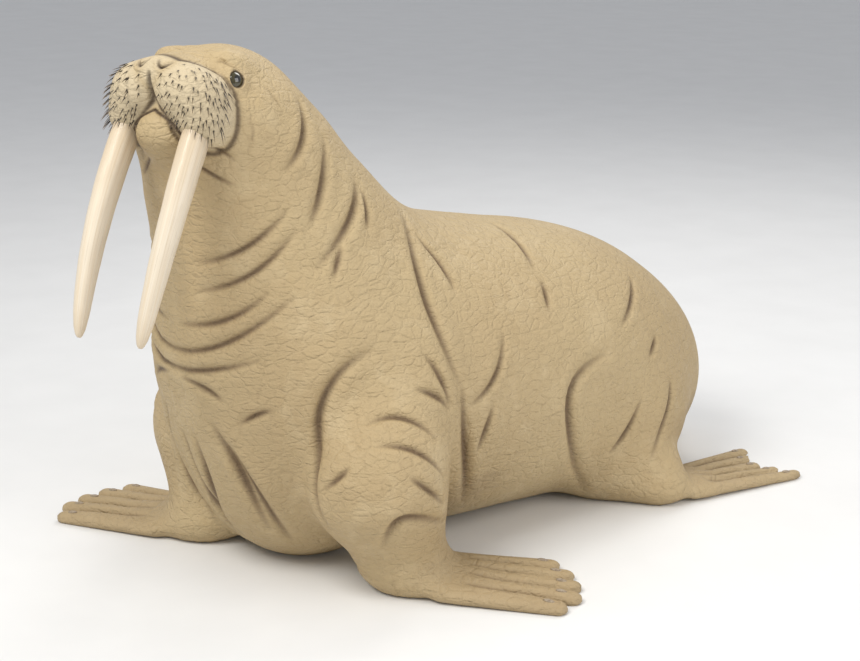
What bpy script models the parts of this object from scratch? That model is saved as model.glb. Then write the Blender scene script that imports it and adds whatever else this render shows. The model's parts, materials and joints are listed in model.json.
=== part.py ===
"""A life-size adult walrus that lies on its belly with the neck and head raised.

The body is a set of named fleshy masses that flow into one another. A voxel mesh of the masses is
settled onto their smooth union, the folds of the hide are pressed into it, and thin cuts part it
into the named pieces of the animal. Metres, +Z up, the animal faces -Y and its left side is +X.
"""

import math
from collections import namedtuple

import bmesh
import bpy
import numpy as np
from mathutils import Matrix, Vector
from mathutils.bvhtree import BVHTree

# Driving dimensions
HEAD_CENTRE = (0.030, -0.155, 1.345)
HEAD_PITCH = 26.0
HEAD_YAW = 20.0
EYE_RADIUS = 0.032
LID_OPENING = (0.024, 0.031, 0.024)
EYE_CENTRE = (0.126, -0.098, 0.034)
EYE_LOOK = (0.88, -0.40, 0.24)
TUSK_ROOT = (0.110, -0.158, -0.085)
TUSK_TIP = (0.100, -0.165, -0.692)
TUSK_RADII = (0.034, 0.041)
MUZZLE_PLANE = ((0, -0.1267, 0), (0, 1, 0.267))
TUSK_SIDES = 14
TUSK_STEPS = ((0, 1.0), (0.12, 1.02), (0.28, 0.98), (0.46, 0.90), (0.64, 0.80), (0.80, 0.68),
              (0.90, 0.57), (0.96, 0.43), (0.99, 0.26), (1.0, 0.12))
BRISTLE_ROWS = 7
BRISTLE_LENGTHS = (0.022, 0.034)
BRISTLE_RADIUS = 0.0016
BRISTLE_SINK = 0.009
GAP = 0.0003
BODY_TRIANGLES = 5300
HEAD_TRIANGLES = 3900
FORE_TRIANGLES = 1000
HIND_TRIANGLES = 800
SHIFT = (-0.085, -0.588, 0)
HIDE_COLOUR = (0.50, 0.39, 0.22)

Mass = namedtuple("Mass", "place shape blend")
Group = namedtuple("Group", "masses blend")
Fold = namedtuple("Fold", "start middle end width depth both")

FOLDS = (
    Fold((0.18, 0.03, 1.35), (0.24, -0.00, 1.27), (0.27, -0.08, 1.19), 0.012, 0.012, True),
    Fold((0.22, 0.08, 1.25), (0.28, 0.03, 1.14), (0.30, -0.03, 1.04), 0.014, 0.012, True),
    Fold((0.24, 0.17, 1.13), (0.30, 0.11, 1.05), (0.33, -0.03, 0.93), 0.014, 0.012, True),
    Fold((0.33, 0.05, 0.98), (0.34, 0.03, 0.94), (0.35, 0.01, 0.90), 0.011, 0.009, True),
    Fold((0.25, 0.18, 1.10), (0.28, 0.17, 1.05), (0.31, 0.15, 1.01), 0.011, 0.009, True),
    Fold((0.11, -0.26, 0.94), (0.23, -0.19, 0.99), (0.28, -0.09, 1.08), 0.011, 0.009, True),
    Fold((0.10, -0.27, 0.86), (0.24, -0.18, 0.92), (0.29, -0.07, 1.03), 0.011, 0.009, True),
    Fold((0.03, -0.28, 0.76), (0.18, -0.23, 0.79), (0.27, -0.15, 0.87), 0.011, 0.009, True),
    Fold((-0.06, -0.27, 0.68), (0.17, -0.24, 0.72), (0.31, -0.09, 0.86), 0.011, 0.009, True),
    Fold((-0.04, -0.28, 0.63), (0.11, -0.27, 0.64), (0.27, -0.18, 0.69), 0.011, 0.009, True),
    Fold((0.03, -0.28, 0.61), (0.12, -0.26, 0.59), (0.17, -0.24, 0.56), 0.011, 0.009, True),
    Fold((0.21, -0.21, 0.50), (0.25, -0.19, 0.53), (0.29, -0.16, 0.55), 0.011, 0.009, True),
    Fold((0.12, -0.24, 0.48), (0.16, -0.18, 0.34), (0.16, -0.09, 0.15), 0.016, 0.014, True),
    Fold((0.16, -0.21, 0.42), (0.19, -0.13, 0.26), (0.18, -0.03, 0.11), 0.015, 0.012, True),
    Fold((0.03, -0.24, 0.42), (0.02, -0.19, 0.25), (-0.02, -0.09, 0.09), 0.015, 0.012, True),
    Fold((0.42, 0.07, 0.70), (0.37, -0.06, 0.55), (0.41, -0.07, 0.22), 0.015, 0.014, True),
    Fold((0.49, -0.06, 0.42), (0.47, -0.08, 0.39), (0.43, -0.09, 0.35), 0.011, 0.009, True),
    Fold((0.47, 0.03, 0.52), (0.51, 0.11, 0.53), (0.55, 0.20, 0.46), 0.011, 0.009, True),
    Fold((0.52, 0.02, 0.47), (0.57, 0.11, 0.45), (0.58, 0.20, 0.36), 0.011, 0.009, True),
    Fold((0.59, 0.07, 0.39), (0.61, 0.12, 0.35), (0.58, 0.20, 0.28), 0.011, 0.009, True),
    Fold((0.54, 0.02, 0.19), (0.59, 0.05, 0.28), (0.55, 0.21, 0.22), 0.014, 0.014, True),
    Fold((0.49, 0.18, 0.59), (0.50, 0.24, 0.56), (0.49, 0.29, 0.51), 0.011, 0.009, True),
    Fold((0.46, 0.23, 0.67), (0.48, 0.27, 0.60), (0.49, 0.29, 0.52), 0.011, 0.009, True),
    Fold((0.21, 0.36, 1.01), (0.39, 0.29, 0.82), (0.48, 0.34, 0.57), 0.015, 0.012, True),
    Fold((0.48, 0.35, 0.56), (0.46, 0.38, 0.36), (0.36, 0.46, 0.16), 0.015, 0.012, True),
    Fold((0.27, 0.36, 0.95), (0.32, 0.40, 0.88), (0.38, 0.41, 0.81), 0.011, 0.009, True),
    Fold((0.45, 0.53, 0.67), (0.48, 0.47, 0.56), (0.48, 0.38, 0.50), 0.011, 0.009, True),
    Fold((0.49, 0.46, 0.48), (0.48, 0.44, 0.41), (0.46, 0.42, 0.35), 0.011, 0.009, True),
    Fold((0.09, 0.80, 0.90), (0.21, 0.80, 0.86), (0.32, 0.77, 0.80), 0.011, 0.009, True),
    Fold((0.35, 0.77, 0.77), (0.39, 0.76, 0.74), (0.42, 0.74, 0.70), 0.011, 0.009, True),
    Fold((0.30, 1.21, 0.70), (0.37, 1.14, 0.65), (0.43, 1.04, 0.60), 0.011, 0.009, True),
    Fold((0.47, 0.93, 0.54), (0.49, 0.76, 0.41), (0.35, 0.97, 0.06), 0.016, 0.014, True),
    Fold((0.41, 1.21, 0.53), (0.43, 1.19, 0.51), (0.44, 1.15, 0.48), 0.011, 0.009, True),
    Fold((0.47, 1.09, 0.36), (0.46, 1.04, 0.27), (0.44, 0.99, 0.20), 0.011, 0.009, True),
    Fold((0.45, 1.25, 0.39), (0.47, 1.22, 0.30), (0.48, 1.13, 0.16), 0.011, 0.009, True),
)


def turned(degrees):
    """A rotation by three angles, about X, then Y, then Z."""
    x, y, z = (math.radians(a) for a in degrees)
    return Matrix.Rotation(z, 4, "Z") @ Matrix.Rotation(y, 4, "Y") @ Matrix.Rotation(x, 4, "X")


def ball(centre, radii, blend, turn=(0, 0, 0)):
    """A fleshy ellipsoid, with its radii along its own axes."""
    return Mass(Matrix.Translation(Vector(centre)) @ turned(turn), tuple(radii), blend)


def limb(start, end, start_radius, end_radius, blend, flat=1.0, across=(1, 0, 0)):
    """A round-ended taper. Flat squeezes its thickness, square to the across direction."""
    start, end = Vector(start), Vector(end)
    along = (end - start).normalized()
    thick = along.cross(Vector(across)).normalized()
    wide = thick.cross(along).normalized()
    place = Matrix.Translation(start) @ Matrix((wide, thick, along)).transposed().to_4x4()
    return Mass(place, ((end - start).length, start_radius, end_radius, flat), blend)


def moved(masses, place):
    """The masses carried from their own frame to another."""
    return [Mass(place @ mass.place, mass.shape, mass.blend) for mass in masses]


def head_place():
    """The head's own frame, which looks along its -Y, set on the neck."""
    return Matrix.Translation(Vector(HEAD_CENTRE)) @ turned((-HEAD_PITCH, 0, HEAD_YAW))


def floor_place(point, heading):
    """A frame on the floor whose X runs in the heading, in degrees from +X towards +Y."""
    turn = Matrix.Rotation(math.radians(heading), 4, "Z")
    return Matrix.Translation((point[0], point[1], 0)) @ turn


def trunk():
    """Chest, shoulders, ribs, loin and rump, resting on the belly."""
    return Group([
        ball((0, 0.13, 0.50), (0.38, 0.36, 0.52), 0.10),
        ball((0, 0.36, 0.53), (0.44, 0.42, 0.43), 0.20),
        ball((0, 0.78, 0.44), (0.49, 0.60, 0.455), 0.25),
        ball((0, 1.18, 0.37), (0.41, 0.44, 0.385), 0.20),
        ball((0, 1.41, 0.28), (0.31, 0.30, 0.295), 0.15),
    ], 0.1)


def neck():
    """The thick neck that rises from the shoulders to the back of the head."""
    return Group([
        limb((0, 0.11, 0.70), (0.0, -0.04, 1.10), 0.355, 0.262, 0.2),
        limb((0, 0.09, 0.98), (0.02, -0.10, 1.28), 0.245, 0.175, 0.15),
    ], 0.20)


def skull():
    """Cranium, snout, brows, cheeks and lower jaw in the head's own frame."""
    masses = [
        ball((0, 0.045, 0.004), (0.160, 0.19, 0.152), 0.08),
        ball((0, -0.10, 0.0), (0.120, 0.150, 0.090), 0.06),
        ball((0, -0.07, -0.115), (0.095, 0.14, 0.075), 0.06),
    ]
    for side in (1, -1):
        masses += [
            ball((0.108 * side, 0.02, -0.060), (0.080, 0.15, 0.105), 0.06),
            ball((0.092 * side, -0.070, 0.090), (0.045, 0.060, 0.030), 0.04),
            ball((EYE_CENTRE[0] * side, *EYE_CENTRE[1:]), (0.035, 0.038, 0.036), 0.016),
        ]
    return Group(moved(masses, head_place()), 0.10)


def lower_lip():
    return Group(moved([
        ball((0, -0.120, -0.142), (0.082, 0.080, 0.052), 0.03),
        ball((0, -0.166, -0.130), (0.070, 0.045, 0.038), 0.03),
    ], head_place()), 0.03)


def whisker_pads():
    """The two swollen pads of the upper lip and the nose that joins them."""
    pads = []
    for side in (1, -1):
        masses = [
            ball((0.066 * side, -0.196, -0.028), (0.074, 0.074, 0.068), 0.05),
            ball((0.108 * side, -0.150, -0.050), (0.064, 0.080, 0.078), 0.05),
            ball((0.120 * side, -0.142, -0.103), (0.048, 0.061, 0.045), 0.05),
        ]
        pads.append(Group(moved(masses, head_place()), 0.016))
    nose = [
        ball((0, -0.190, 0.006), (0.080, 0.070, 0.044), 0.04),
        ball((0, -0.235, 0.0), (0.050, 0.034, 0.034), 0.03),
    ]
    return pads + [Group(moved(nose, head_place()), 0.030)]


def fanned_digits(base, offsets, lengths, radius, spread):
    """Five flattened digits that fan from the base of a flipper."""
    digits = []
    for offset, length in zip(offsets, lengths):
        digits.append(limb(
            (base, offset, 0.024), (base + length, offset * spread, 0.012),
            radius, radius * 0.78, 0.014, 0.62, (0, 1, 0),
        ))
    return digits


def foreleg(shoulder, elbow, wrist, heading, mirror):
    """Upper arm and forearm, and a flipper turned out on the floor."""
    arm = [
        limb(shoulder, elbow, 0.215, 0.175, 0.12),
        limb(elbow, wrist, 0.170, 0.115, 0.10),
    ]
    palm = [limb((0.0, 0, 0.045), (0.17, 0, 0.020), 0.118, 0.138, 0.08, 0.27, (0, 1, 0))]
    offsets = [-0.110, -0.056, 0.0, 0.055, 0.106]
    lengths = (0.315, 0.350, 0.345, 0.320, 0.275)
    digits = fanned_digits(0.12, [o * mirror for o in offsets], lengths, 0.038, 1.28)
    flipper = moved(palm + digits, floor_place(wrist, heading))
    return [Group(arm, 0.06), Group(flipper, 0.08)]


def hind_leg(side, ankle, heading):
    """Thigh, shank and the fanned hind flipper."""
    leg = [
        ball((0.27 * side, 1.17, 0.25), (0.20, 0.27, 0.26), 0.08),
        limb((0.30 * side, 1.10, 0.13), (*ankle, 0.075), 0.13, 0.095, 0.08),
    ]
    foot = [limb((0.0, 0, 0.05), (0.14, 0, 0.026), 0.100, 0.108, 0.06, 0.34, (0, 1, 0))]
    offsets = (-0.082, -0.042, 0.0, 0.042, 0.082)
    lengths = (0.40, 0.365, 0.35, 0.365, 0.40)
    foot += fanned_digits(0.10, offsets, lengths, 0.030, 1.5)
    return [Group(leg, 0.07), Group(moved(foot, floor_place(ankle, heading)), 0.05)]


def flesh():
    """Every group of masses, in the order that they are joined."""
    groups = [trunk(), neck(), skull(), lower_lip()] + whisker_pads()
    groups += foreleg((0.25, 0.26, 0.58), (0.41, 0.10, 0.33), (0.43, 0.19, 0.08), 42, 1)
    groups += foreleg((-0.25, 0.20, 0.58), (-0.30, 0.05, 0.33), (-0.25, -0.03, 0.08), 203, -1)
    groups += hind_leg(1, (0.44, 1.20), 84)
    groups += hind_leg(-1, (-0.38, 1.26), 105)
    groups.append(Group([limb((0, 1.58, 0.20), (0, 1.740, 0.14), 0.085, 0.048, 0.06, 0.7)], 0.05))
    return groups


def hollows():
    """What is pressed into the muzzle: the lip's cleft and the two crescent nostrils."""
    masses = [
        limb((0, -0.275, -0.010), (0, -0.258, -0.040), 0.007, 0.008, 0.006),
        limb((0, -0.258, -0.040), (0, -0.221, -0.076), 0.008, 0.009, 0.006),
    ]
    for side in (1, -1):
        masses += [
            limb((0.015 * side, -0.261, 0.031), (0.031 * side, -0.271, 0.009), 0.0055, 0.0085, 0.005),
            limb((0.031 * side, -0.271, 0.009), (0.051 * side, -0.254, 0.029), 0.0085, 0.0055, 0.005),
        ]
    return moved(masses, head_place())


def ellipsoid_distance(local, radii):
    """About how far points are outside an ellipsoid, and negative inside it."""
    radii = np.array(radii)
    inner = np.linalg.norm(local / radii, axis=1)
    slope = np.linalg.norm(local / radii**2, axis=1)
    return inner * (inner - 1) / np.maximum(slope, 1e-9)


def taper_distance(local, length, start_radius, end_radius, flat):
    """About how far points are outside a round-ended taper along its own Z."""
    x, y, z = local[:, 0], local[:, 1] / flat, local[:, 2]
    sine = (start_radius - end_radius) / length
    round_way = np.hypot(x, y)
    along = np.clip(z - round_way * sine / math.sqrt(1 - sine * sine), 0, length)
    reach = np.maximum(np.hypot(round_way, z - along), 1e-9)
    slope = np.sqrt(x**2 + (y / flat) ** 2 + (z - along) ** 2) / reach
    return (reach - start_radius - (end_radius - start_radius) * along / length) / slope


def mass_distance(mass, points):
    inverse = np.array(mass.place.inverted())
    local = points @ inverse[:3, :3].T + inverse[:3, 3]
    if len(mass.shape) == 3:
        return ellipsoid_distance(local, mass.shape)
    return taper_distance(local, *mass.shape)


def flowed(first, second, blend):
    """The smaller of two distances, with the crease between them filled over the blend."""
    share = np.clip(0.5 + 0.5 * (second - first) / blend, 0, 1)
    return second + (first - second) * share - blend * share * (1 - share)


def group_distance(group, points):
    distance = mass_distance(group.masses[0], points)
    for mass in group.masses[1:]:
        distance = flowed(distance, mass_distance(mass, points), mass.blend)
    return distance


def hide_distance(groups, dents, points):
    """How far points are outside the smooth union of the groups, less the dents."""
    distance = group_distance(groups[0], points)
    for group in groups[1:]:
        distance = flowed(distance, group_distance(group, points), group.blend)
    for dent in dents:
        distance = -flowed(-distance, mass_distance(dent, points), dent.blend)
    return distance


def gradient(field, points, step=0.001):
    base = field(points)
    slopes = []
    for axis in range(3):
        shifted = points.copy()
        shifted[:, axis] += step
        slopes.append((field(shifted) - base) / step)
    return base, np.stack(slopes, axis=1)


def solid_ball(bm, mass):
    size = Matrix.Diagonal((*mass.shape, 1))
    bmesh.ops.create_icosphere(bm, subdivisions=3, radius=1, matrix=mass.place @ size)


def solid_limb(bm, mass):
    """The hull of a limb's two end spheres."""
    length, start_radius, end_radius, flat = mass.shape
    squeeze = mass.place @ Matrix.Diagonal((1, flat, 1, 1))
    hull = bmesh.new()
    for offset, radius in ((0, start_radius), (length, end_radius)):
        place = squeeze @ Matrix.Translation((0, 0, offset))
        bmesh.ops.create_icosphere(hull, subdivisions=3, radius=radius, matrix=place)
    bmesh.ops.delete(hull, geom=hull.edges[:] + hull.faces[:], context="EDGES_FACES")
    made = bmesh.ops.convex_hull(hull, input=hull.verts[:])
    inside = [v for v in made["geom_interior"] if isinstance(v, bmesh.types.BMVert)]
    bmesh.ops.delete(hull, geom=inside, context="VERTS")
    mesh = bpy.data.meshes.new("hull")
    hull.to_mesh(mesh)
    hull.free()
    bm.from_mesh(mesh)
    bpy.data.meshes.remove(mesh)


def new_object(name, mesh):
    obj = bpy.data.objects.new(name, mesh)
    bpy.context.scene.collection.objects.link(obj)
    return obj


def evaluated(obj):
    """The object's mesh with its modifiers applied, and the object removed."""
    graph = bpy.context.evaluated_depsgraph_get()
    graph.update()
    mesh = bpy.data.meshes.new_from_object(obj.evaluated_get(graph))
    bpy.data.objects.remove(obj)
    return mesh


def rough_mesh(groups, voxel):
    """The plain union of the masses, remeshed together."""
    bm = bmesh.new()
    for group in groups:
        for mass in group.masses:
            build = solid_ball if len(mass.shape) == 3 else solid_limb
            build(bm, mass)
    mesh = bpy.data.meshes.new("rough")
    bm.to_mesh(mesh)
    bm.free()
    obj = new_object("rough", mesh)
    remesh = obj.modifiers.new("union", "REMESH")
    remesh.mode = "VOXEL"
    remesh.voxel_size = voxel
    return evaluated(obj)


def points_of(mesh):
    points = np.empty(len(mesh.vertices) * 3)
    mesh.vertices.foreach_get("co", points)
    return points.reshape(-1, 3)


def settle(mesh, field, passes, reach):
    """Moves each vertex down the slope of the field onto its zero level."""
    points = points_of(mesh)
    for _ in range(passes):
        distance, slope = gradient(field, points)
        step = slope * (distance / np.maximum((slope**2).sum(axis=1), 0.1))[:, None]
        size = np.linalg.norm(step, axis=1)
        points -= step * np.minimum(1, reach / np.maximum(size, 1e-9))[:, None]
    mesh.vertices.foreach_set("co", points.ravel())
    mesh.update()


def relax(mesh, rounds):
    """Evens out the mesh between two settlings."""
    bm = bmesh.new()
    bm.from_mesh(mesh)
    for _ in range(rounds):
        bmesh.ops.smooth_vert(
            bm, verts=bm.verts[:], factor=0.5, use_axis_x=True, use_axis_y=True, use_axis_z=True
        )
    bm.to_mesh(mesh)
    bm.free()


def lines_of(folds, field):
    """Each fold as a row of points laid on the hide, on both sides of the body where it says so."""
    lines = []
    for fold in folds:
        for side in (1, -1) if fold.both else (1,):
            start, middle, end = (np.array(p) * (side, 1, 1) for p in (fold.start, fold.middle, fold.end))
            t = np.linspace(0, 1, 15)[:, None]
            bend = middle * 2 - (start + end) / 2
            line = start * (1 - t) ** 2 + bend * 2 * t * (1 - t) + end * t**2
            for _ in range(4):
                distance, slope = gradient(field, line)
                line -= slope * (distance / np.maximum((slope**2).sum(axis=1), 0.1))[:, None]
            lines.append((line, fold.width, fold.depth))
    return lines


def line_distance(points, line):
    """How far points are from a line, and how near to its middle they fall, from 0 to 1."""
    nearest = np.full(len(points), 1e9)
    share = np.zeros(len(points))
    steps = len(line) - 1
    for number in range(steps):
        along = line[number + 1] - line[number]
        t = np.clip((points - line[number]) @ along / (along @ along), 0, 1)
        distance = np.linalg.norm(points - line[number] - t[:, None] * along, axis=1)
        closer = distance < nearest
        nearest[closer] = distance[closer]
        share[closer] = ((number + t) / steps)[closer]
    return nearest, np.sin(np.pi * share)


def press_folds(mesh, field, lines):
    """Presses a crease along each line, with a soft roll of hide on both sides of it."""
    points = points_of(mesh)
    shift = np.zeros(len(points))
    for line, width, depth in lines:
        distance, middle = line_distance(points, line)
        near = distance < width * 5
        ratio = distance[near] / width
        strength = depth * (0.25 + 0.75 * middle[near])
        shift[near] += strength * (0.45 * np.exp(-((ratio - 2.2) / 1.1) ** 2) - np.exp(-(ratio**2)))
    slope = gradient(field, points)[1]
    slope /= np.maximum(np.linalg.norm(slope, axis=1), 1e-9)[:, None]
    points += slope * np.clip(shift, -0.022, 0.014)[:, None]
    mesh.vertices.foreach_set("co", points.ravel())
    mesh.update()


def trimmed(mesh, cuts, spread):
    """The inner side of a closed mesh at each plane, closed again there."""
    bm = bmesh.new()
    bm.from_mesh(mesh)
    for point, normal in cuts:
        slice_off(bm, Vector(point) + Vector(normal).normalized() * spread, Vector(normal))
    bm.to_mesh(mesh)
    bm.free()


def hide_mesh(groups, field, voxel, lines, triangles, cuts=()):
    """The hide over the groups, settled onto the field, folded, trimmed and thinned out."""
    mesh = rough_mesh(groups, voxel)
    settle(mesh, field, 3, voxel * 2)
    relax(mesh, 2)
    settle(mesh, field, 2, voxel)
    press_folds(mesh, field, lines)
    trimmed(mesh, cuts, 0.03)
    obj = new_object("hide", mesh)
    thinner = obj.modifiers.new("thinner", "DECIMATE")
    mesh.calc_loop_triangles()
    thinner.ratio = triangles / len(mesh.loop_triangles)
    thinner.use_collapse_triangulate = True
    return evaluated(obj)


def largest_surface(mesh):
    """Leaves a mesh with only its largest closed surface."""
    bm = bmesh.new()
    bm.from_mesh(mesh)
    left = set(bm.faces)
    parts = []
    while left:
        part, edge = set(), [left.pop()]
        while edge:
            face = edge.pop()
            part.add(face)
            for side in face.edges:
                for other in side.link_faces:
                    if other in left:
                        left.remove(other)
                        edge.append(other)
        parts.append(part)
    parts.sort(key=lambda part: -sum(face.calc_area() for face in part))
    scraps = [face for part in parts[1:] for face in part]
    bmesh.ops.delete(bm, geom=scraps, context="FACES")
    bmesh.ops.triangulate(bm, faces=bm.faces[:])
    bm.to_mesh(mesh)
    bm.free()
    return mesh


def combined(mesh, others, operation, solver="EXACT"):
    """The mesh with the others cut from it, joined to it or used to bound it."""
    obj = new_object("work", mesh)
    group = bpy.data.collections.new("others")
    bpy.context.scene.collection.children.link(group)
    for other in others:
        group.objects.link(bpy.data.objects.new("other", other))
    boolean = obj.modifiers.new("work", "BOOLEAN")
    boolean.operation = operation
    boolean.operand_type = "COLLECTION"
    boolean.collection = group
    boolean.solver = solver
    result = evaluated(obj)
    for other in list(group.objects):
        bpy.data.objects.remove(other)
    bpy.data.collections.remove(group)
    return largest_surface(result)


def slice_off(bm, point, normal):
    """Removes what lies on the outer side of a plane and closes the cut."""
    cut = bmesh.ops.bisect_plane(
        bm,
        geom=bm.verts[:] + bm.edges[:] + bm.faces[:],
        dist=1e-6,
        plane_co=point,
        plane_no=normal,
        clear_outer=True,
    )
    edges = [e for e in cut["geom_cut"] if isinstance(e, bmesh.types.BMEdge)]
    bmesh.ops.edgeloop_fill(bm, edges=edges)


def block(cuts, spread=0.0):
    """A block on the floor, cut back to the inner side of each plane, which the spread moves out."""
    bm = bmesh.new()
    bmesh.ops.create_cube(bm, size=8, matrix=Matrix.Translation((0, 0, 4)))
    for point, normal in cuts:
        slice_off(bm, Vector(point) + Vector(normal).normalized() * spread, Vector(normal))
    bmesh.ops.recalc_face_normals(bm, faces=bm.faces[:])
    return bm_mesh(bm, "block")


def bm_mesh(bm, name):
    mesh = bpy.data.meshes.new(name)
    bm.to_mesh(mesh)
    bm.free()
    return mesh


def head_cut(point, normal):
    """A cutting plane given in the head's own frame."""
    place = head_place()
    return place @ Vector(point), place.to_3x3() @ Vector(normal)


def flipper_cuts(point, heading, along, reach):
    """What lies beyond a line across the wrist or ankle, near the floor."""
    way = Vector((math.cos(math.radians(heading)), math.sin(math.radians(heading)), 0))
    side = Vector((-way.y, way.x, 0))
    middle = Vector((*point[:2], 0)) + way * along
    return [
        (middle, -way),
        (middle + side * reach, side),
        (middle - side * reach, -side),
        ((0, 0, 0.19), (0, 0, 1)),
    ]


def finish(name, colour, roughness):
    material = bpy.data.materials.new(name)
    material.use_nodes = True
    shader = material.node_tree.nodes["Principled BSDF"]
    shader.inputs["Base Color"].default_value = (*colour, 1)
    shader.inputs["Roughness"].default_value = roughness
    return material


def place_node(name, mesh, colour, roughness):
    """A finished piece of the animal in its own node, shaded smooth."""
    mesh.materials.clear()
    mesh.materials.append(finish(name, colour, roughness))
    mesh.transform(Matrix.Translation(SHIFT))
    mesh.shade_smooth()
    mesh.set_sharp_from_angle(angle=math.radians(50))
    mesh.name = name
    return new_object(name, mesh)


def tusk_mesh(side, spread):
    """A tusk from inside the lip to its worn tip, oval, bowed a little back."""
    root = Vector((TUSK_ROOT[0] * side, *TUSK_ROOT[1:]))
    tip = Vector((TUSK_TIP[0] * side, *TUSK_TIP[1:]))
    bow = Vector((0.010 * side, -0.022, 0))
    root.z += spread
    tip.z -= spread
    bm = bmesh.new()
    bmesh.ops.create_circle(bm, cap_ends=True, segments=TUSK_SIDES, radius=1)
    edges = bm.edges[:]
    rings = [bm.verts[:]]
    for _ in TUSK_STEPS[1:]:
        made = bmesh.ops.extrude_edge_only(bm, edges=edges)["geom"]
        edges = [part for part in made if isinstance(part, bmesh.types.BMEdge)]
        edges = [edge for edge in edges if all(v in made for v in edge.verts)]
        rings.append([part for part in made if isinstance(part, bmesh.types.BMVert)])
    bmesh.ops.edgeloop_fill(bm, edges=edges)
    for (t, scale), ring in zip(TUSK_STEPS, rings):
        centre = root.lerp(tip, t) + bow * (4 * t * (1 - t))
        for vertex in ring:
            x = vertex.co.x * (TUSK_RADII[0] * scale + spread)
            y = vertex.co.y * (TUSK_RADII[1] * scale + spread)
            vertex.co = centre + Vector((x, y, 0))
    bmesh.ops.recalc_face_normals(bm, faces=bm.faces[:])
    bmesh.ops.transform(bm, matrix=head_place(), verts=bm.verts[:])
    return bm_mesh(bm, "tusk")


def eye_place(side):
    """The eye's own frame in the head, with Z the way it looks."""
    look = Vector((EYE_LOOK[0] * side, *EYE_LOOK[1:]))
    turn = look.to_track_quat("Z", "Y").to_matrix().to_4x4()
    return head_place() @ Matrix.Translation((EYE_CENTRE[0] * side, *EYE_CENTRE[1:])) @ turn


def eye_mesh(side, spread):
    bm = bmesh.new()
    bmesh.ops.create_uvsphere(
        bm, u_segments=14, v_segments=9, radius=EYE_RADIUS + spread, matrix=eye_place(side)
    )
    return bm_mesh(bm, "eye")


def lid_opening(side):
    """The space between the lids, in front of the eye."""
    bm = bmesh.new()
    place = eye_place(side) @ Matrix.Translation((0, 0, 0.036)) @ Matrix.Diagonal((*LID_OPENING, 1))
    bmesh.ops.create_uvsphere(bm, u_segments=16, v_segments=8, radius=1, matrix=place)
    return bm_mesh(bm, "opening")


def surface_tree(mesh):
    return BVHTree.FromPolygons(
        [vertex.co for vertex in mesh.vertices], [tuple(face.vertices) for face in mesh.polygons]
    )


def clear_of(tree, root, way, length):
    """Whether a bristle keeps clear of a closed surface from its buried root to its tip."""
    for step in range(7):
        point = root + way * (-BRISTLE_SINK + (length + BRISTLE_SINK) * step / 6)
        nearest, normal, _, distance = tree.find_nearest(point)
        if distance < 0.004 or (point - nearest).dot(normal) < 0:
            return False
    return True


def bristle_mesh(root, way, length):
    """One stiff bristle, a spine of five sides that narrows to its tip, its root under the hide."""
    bm = bmesh.new()
    middle = root + way * ((length - BRISTLE_SINK) / 2)
    bmesh.ops.create_cone(
        bm, cap_ends=True, segments=5, radius1=BRISTLE_RADIUS, radius2=0,
        depth=length + BRISTLE_SINK,
        matrix=Matrix.Translation(middle) @ way.to_track_quat("Z", "Y").to_matrix().to_4x4(),
    )
    return bm_mesh(bm, "bristle")


def bristles(muzzle):
    """The bristles of both whisker pads, in bowed rows that droop, longest at the sides."""
    rng = np.random.default_rng(5)
    tree = surface_tree(muzzle)
    place = head_place()
    turn = place.to_3x3()
    made = []
    for side in (1, -1):
        tusk = surface_tree(tusk_mesh(side, 0))
        core = place @ Vector((0.080 * side, -0.125, -0.045))
        for row in range(BRISTLE_ROWS):
            rise = math.radians(30 - row * 74 / (BRISTLE_ROWS - 1))
            count = 6 + round(4 * math.sin(math.pi * (row + 1) / (BRISTLE_ROWS + 1)))
            for number in range(count):
                swing = math.radians(-16 + 88 * (number + 0.5 * (row % 2)) / count)
                lift = rise + rng.normal(0, 0.02)
                ray = Vector((math.sin(swing) * side, -math.cos(swing), math.tan(lift)))
                hit, normal = tree.ray_cast(core, turn @ ray.normalized(), 0.3)[:2]
                if hit is None:
                    continue
                local = place.inverted() @ hit
                behind = (local - Vector(MUZZLE_PLANE[0])).dot(Vector(MUZZLE_PLANE[1]))
                if behind > -0.02 or abs(local.x) < 0.020 or local.z > 0.028:
                    continue
                way = (normal + turn @ Vector((0.10 * side, -0.05, -0.60))).normalized()
                length = rng.uniform(*BRISTLE_LENGTHS) + 0.014 * max(0, swing)
                if clear_of(tusk, hit, way, length):
                    made.append(bristle_mesh(hit, way, length))
    return made


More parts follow.
